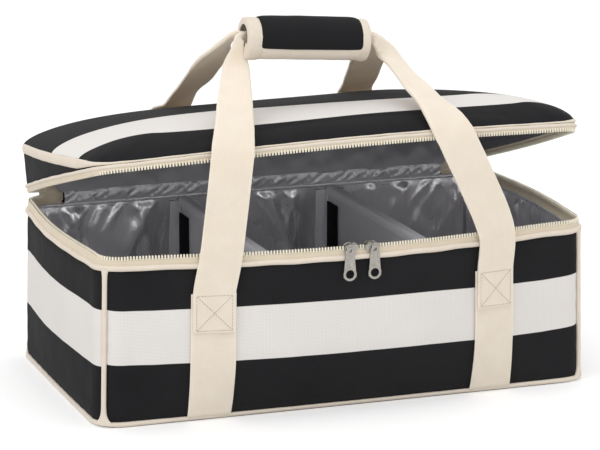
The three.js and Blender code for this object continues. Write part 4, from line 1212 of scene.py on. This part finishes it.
for side_name, strap_side in (("front", "front"), ("back", "rear")):
    sewn_webbing(side_name, strap_side + "_left", -1)
    sewn_webbing(side_name, strap_side + "_right", 1)


# Grip: a strip wound once round the webbings and lapped over itself, from its first angle to its last
WRAP_FIRST, WRAP_FLAP, WRAP_LAST = 200, 557, 610


def round_grip(along, angle, height):
    """Points round the grip, a height above the strip's inner face. The angle is in degrees from the
    back, up over the top to the front and under."""
    turn, radius = np.radians(angle), GRIP_BORE_RADIUS + 4.4 * (angle - WRAP_FIRST) / 360 + height
    return grip_place(along, radius * np.cos(turn), radius * np.sin(turn))


def grip_pieces():
    inside = GRIP_LENGTH / 2 - GRIP_BINDING_WIDTH

    def sleeve(u, v):
        last = WRAP_FLAP + 1
        along, angle = (2 * u - 1) * (inside + 0.6), WRAP_FIRST + (last - WRAP_FIRST) * v
        puff = 0.9 * (1 - (along / inside) ** 2) + 0.3 * drift(along / 22, angle / 50, 3)
        dip = 0.8 * np.exp(-(inside - np.abs(along)) / 2) + 0.8 * np.exp(-(last - angle) / 4)
        return round_grip(along, angle, 3 + puff - dip)

    size = (2 * inside, 110)
    piece = cloth("grip_sleeve", (50, 120), sleeve, size, 3.0, PLAIN_CANVAS, "black_cloth")
    on(piece, "rear_handle", "grip_wrap")

    look = 1.2, TRIM, "cream_trim", 80
    for name, sign in (("left", -1), ("right", 1)):

        def edge(u, v):
            angle = WRAP_FIRST + (WRAP_LAST - WRAP_FIRST) * u
            width = GRIP_BINDING_WIDTH + (4.5 if sign < 0 else 0.2)
            along = sign * (inside + width * np.clip(v * 1.25, 0, 1))
            swell = 1.2 * np.sin(np.pi * v) ** 0.7 - 4.2 * ease(v, 0.8, 1.0)
            return round_grip(along, angle, 2.7 + swell + 0.15 * drift(angle / 9, v, 1))

        piece = cloth("grip_edge_tape_" + name, (120, 14), edge, (110, 14), *look, turned=sign > 0)
        on(piece, "rear_handle", "grip_binding_" + name)

    def lapped(u, v):
        share = np.clip(v * 1.12, 0, 1)
        along, angle = (2 * u - 1) * (inside + 0.4), WRAP_FLAP + (WRAP_LAST - WRAP_FLAP) * share
        bow = np.clip(np.sin(np.pi * share), 0, 1) ** 0.5
        tuck = 3.6 * ease(v, 0.9, 1.0)
        return round_grip(along, angle, 2.6 + 1.1 * bow - tuck + 0.15 * drift(along / 9, v, 1))

    piece = cloth("grip_flap_tape", (60, 16), lapped, (2 * inside, 20), *look)
    on(piece, "rear_handle", "grip_flap_binding")
    coat(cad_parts["grip_closure_tape"], HOOK_TAPE)


grip_pieces()


# Zip sliders and pulls. A slider stands this far from the bag's middle and behind the rim's face; the
# pull's pivot lies before the slider's middle, and the pull's ring below the pivot
SLIDER_PLACE, SLIDER_INSET, PULL_PIVOT, RING_HEIGHT = 12, 1.3, 4.45, -26.4


def combine(piece, other, operation):
    shape_with(piece, "BOOLEAN", object=other, operation=operation, solver="EXACT")
    bpy.data.objects.remove(other)


def on_zip(piece, name, smooth, sign, node):
    """Names a piece made in the slider's own axes, finishes it and puts it on the zip."""
    piece.name = piece.data.name = name
    finish(piece, NICKEL, "nickel", smooth)
    near = sign * SLIDER_PLACE + np.array([-1, 0, 1])
    before, here, after = wall("front", near, ZIP_HEIGHT, SLIDER_INSET)
    slope = after - before
    turn = Matrix.Rotation(math.atan2(slope[1], slope[0]), 4, "Z")
    piece.data.transform(Matrix.Translation(Vector(here) * MM) @ turn)
    piece.data.update()
    on(piece, node, node)


def slider(name, sign):
    """A casting of two rounded shields on a post, with a bail that its pull hangs from. The two
    sliders mirror each other, and each pull hangs at the outer end of its bail."""
    middle, drop = -2.2 * sign, -2.4
    blocks = []
    for depth in (-2.5, 2.5):
        blocks += [drum(4.3, 1.4, (middle + way, depth, drop)) for way in (-2.3, 2.3)]
        blocks.append(plate((4.6, 1.4, 8.6), (middle, depth, drop), 0.01, 1))
    blocks += [
        plate((6, 5.4, 1.4), (middle, 0, drop), 0.2),
        plate((8.5, 1.1, 1.0), (middle, -1.6, drop - 3.6), 0.3),
        drum(0.8, 10.6, (-2.1 * sign, -PULL_PIVOT, 0), "X"),
        plate((1.6, 2.9, 1.9), (2.95 * sign, -3.8, -0.1), 0.4),
        plate((1.6, 2.9, 1.9), (-6.7 * sign, -3.8, -0.1), 0.4),
    ]
    body = blocks[0]
    for block in blocks[1:]:
        combine(body, block, "UNION")
    rounded(body, 0.4)
    on_zip(body, name + "_casting", 35, sign, name)


def pull(name, sign):
    """A flat tab, wider at its foot, with a raised rim, a rolled eye for the bail and a round hole."""
    tab = plate((10.2, 1.5, 25.5), (0, 0, -16.6), 0.01, 1)
    points = points_of(tab)
    points[:, 0] *= np.interp(points[:, 2], [-30, -4], [1.2, 0.78])
    set_points(tab, points)
    for block, operation in (
        (drum(6.2, 1.5, (0, 0, RING_HEIGHT)), "UNION"),
        (plate((6.0, 1.5, 4.6), (0, 0, -2.4), 0.4), "UNION"),
        (drum(1.75, 4.0, (0, 0, 0), "X"), "UNION"),
        (drum(0.95, 9, (0, 0, 0), "X"), "DIFFERENCE"),
        (plate((5.4, 0.9, 11.6), (0, -0.75, -14.2), 0.3), "DIFFERENCE"),
        (drum(4.0, 4, (0, 0, RING_HEIGHT)), "DIFFERENCE"),
        (plate((3.2, 4, 2.6), (0, 0, -4.9), 0.6), "DIFFERENCE"),
    ):
        combine(tab, block, operation)
    rounded(tab, 0.28, angle=40)
    tab.data.transform(Matrix.Translation((0, -PULL_PIVOT * MM, 0)))
    on_zip(tab, name + "_tab", 40, sign, name)


for end, sign in (("left", -1), ("right", 1)):
    slider("slider_" + end, sign)
    pull("pull_" + end, sign)


# Dividers, short enough at the bulged front to be put further out by their shift
DIVIDER_FOOT, DIVIDER_TOP = 10.8, 146.0
# Section of the tape folded over a divider's edge: mm across and outwards
EDGE_SECTION = (
    (-4.35, -7.5), (-4.75, -6.5), (-4.75, -0.6), (-3.6, 1.0),
    (3.6, 1.0), (4.75, -0.6), (4.75, -6.5), (4.35, -7.5),
)


def divider(name, x):
    low, high = DIVIDER_FOOT, DIVIDER_TOP
    back = wall("back", -x, PANEL_TOP, 12.6)[0][1]

    def front(height):
        return wall("front", x + math.copysign(DIVIDER_SHIFT, x), height, 12.8)[:, 1]

    def face(u, v):
        height = low + (high - low) * v
        start = front(height)
        y = back + (start - back) * u
        edge = np.minimum(np.minimum(u, 1 - u) * (back - start), np.minimum(height - low, high - height))
        puff = 0.7 * ease(edge, 0, 22) + 0.25 * drift(y / 40, height / 30, 2 + x / DIVIDER_PLACE)
        return np.stack([x - 3.3 - puff, y, height], 1)

    look = DIVIDER_FILM, "divider_cloth"
    piece = cloth(name + "_pad", (80, 44), face, (270, 135), 7.2, *look, rounding=(2.2, 3, 60))
    on(piece, name, name)

    steps, corner, foot = 130, 5.0, low + 3
    head = front(high)[0]
    path = [(front(h)[0], h) for h in (foot, *np.linspace(low + 8, high - corner, 14))]
    path += [(head + corner * 0.3, high - corner * 0.3), (head + corner, high)]
    path += [(y, high) for y in np.linspace(head + corner + 8, back - corner, 16)]
    path += [(back - corner * 0.3, high - corner * 0.3), (back, high - corner)]
    path += [(back, h) for h in np.linspace(high - corner - 8, foot, 12)]
    line, length = through([(0, y, z) for y, z in path], steps)
    tangent = unit(np.gradient(line, axis=0))
    outward = np.stack([0 * tangent[:, 0], -tangent[:, 2], tangent[:, 1]], 1)

    def tape(u, v):
        i = nearest(u, steps)
        wide, out = profile(EDGE_SECTION, v)
        points = line[i] + outward[i] * out[:, None]
        points[:, 0] = x + wide + 0.15 * drift(u * 40, v, 4)
        return points

    edging = TAPE_THICKNESS, DIVIDER_EDGE, "divider_cloth"
    piece = cloth(name + "_edge_tape", (steps - 1, 16), tape, (length, 22), *edging, offset=0.0)
    on(piece, name)
    for end, side, middle, clear in (("rear", "back", -x, 11.5), ("front", "front", x, 12.0)):

        def flange(u, v):
            travel, height = middle + (u - 0.5) * 27, low + 6 + (high - low - 10) * v
            return wall(side, travel, height, clear + 0.35 * drift(travel / 9, height / 15, 3))

        strip = name + "_" + end + "_flange"
        piece = cloth(strip, (16, 60), flange, (27, 125), 0.6, *look, rounding=(0.2, 2, 60))
        on(piece, name)
        node = name + "_" + end + "_tape"
        lowest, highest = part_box(node)
        centre, size = (lowest + highest) / 2 / MM, (highest - lowest) / MM
        pile = plate((size[0] * 0.8, size[1] * 1.1, size[2] - 6), (centre[0], centre[1], centre[2] - 3), 0.4)
        pile.name = pile.data.name = node.replace("tape", "hook_strip")
        finish(pile, HOOK_TAPE, "hook_tape", 40)
        on(pile, name, node)


divider("divider_left", -DIVIDER_PLACE)
divider("divider_right", DIVIDER_PLACE)

for spare in (TOOTH, STITCH):
    bpy.data.objects.remove(spare)
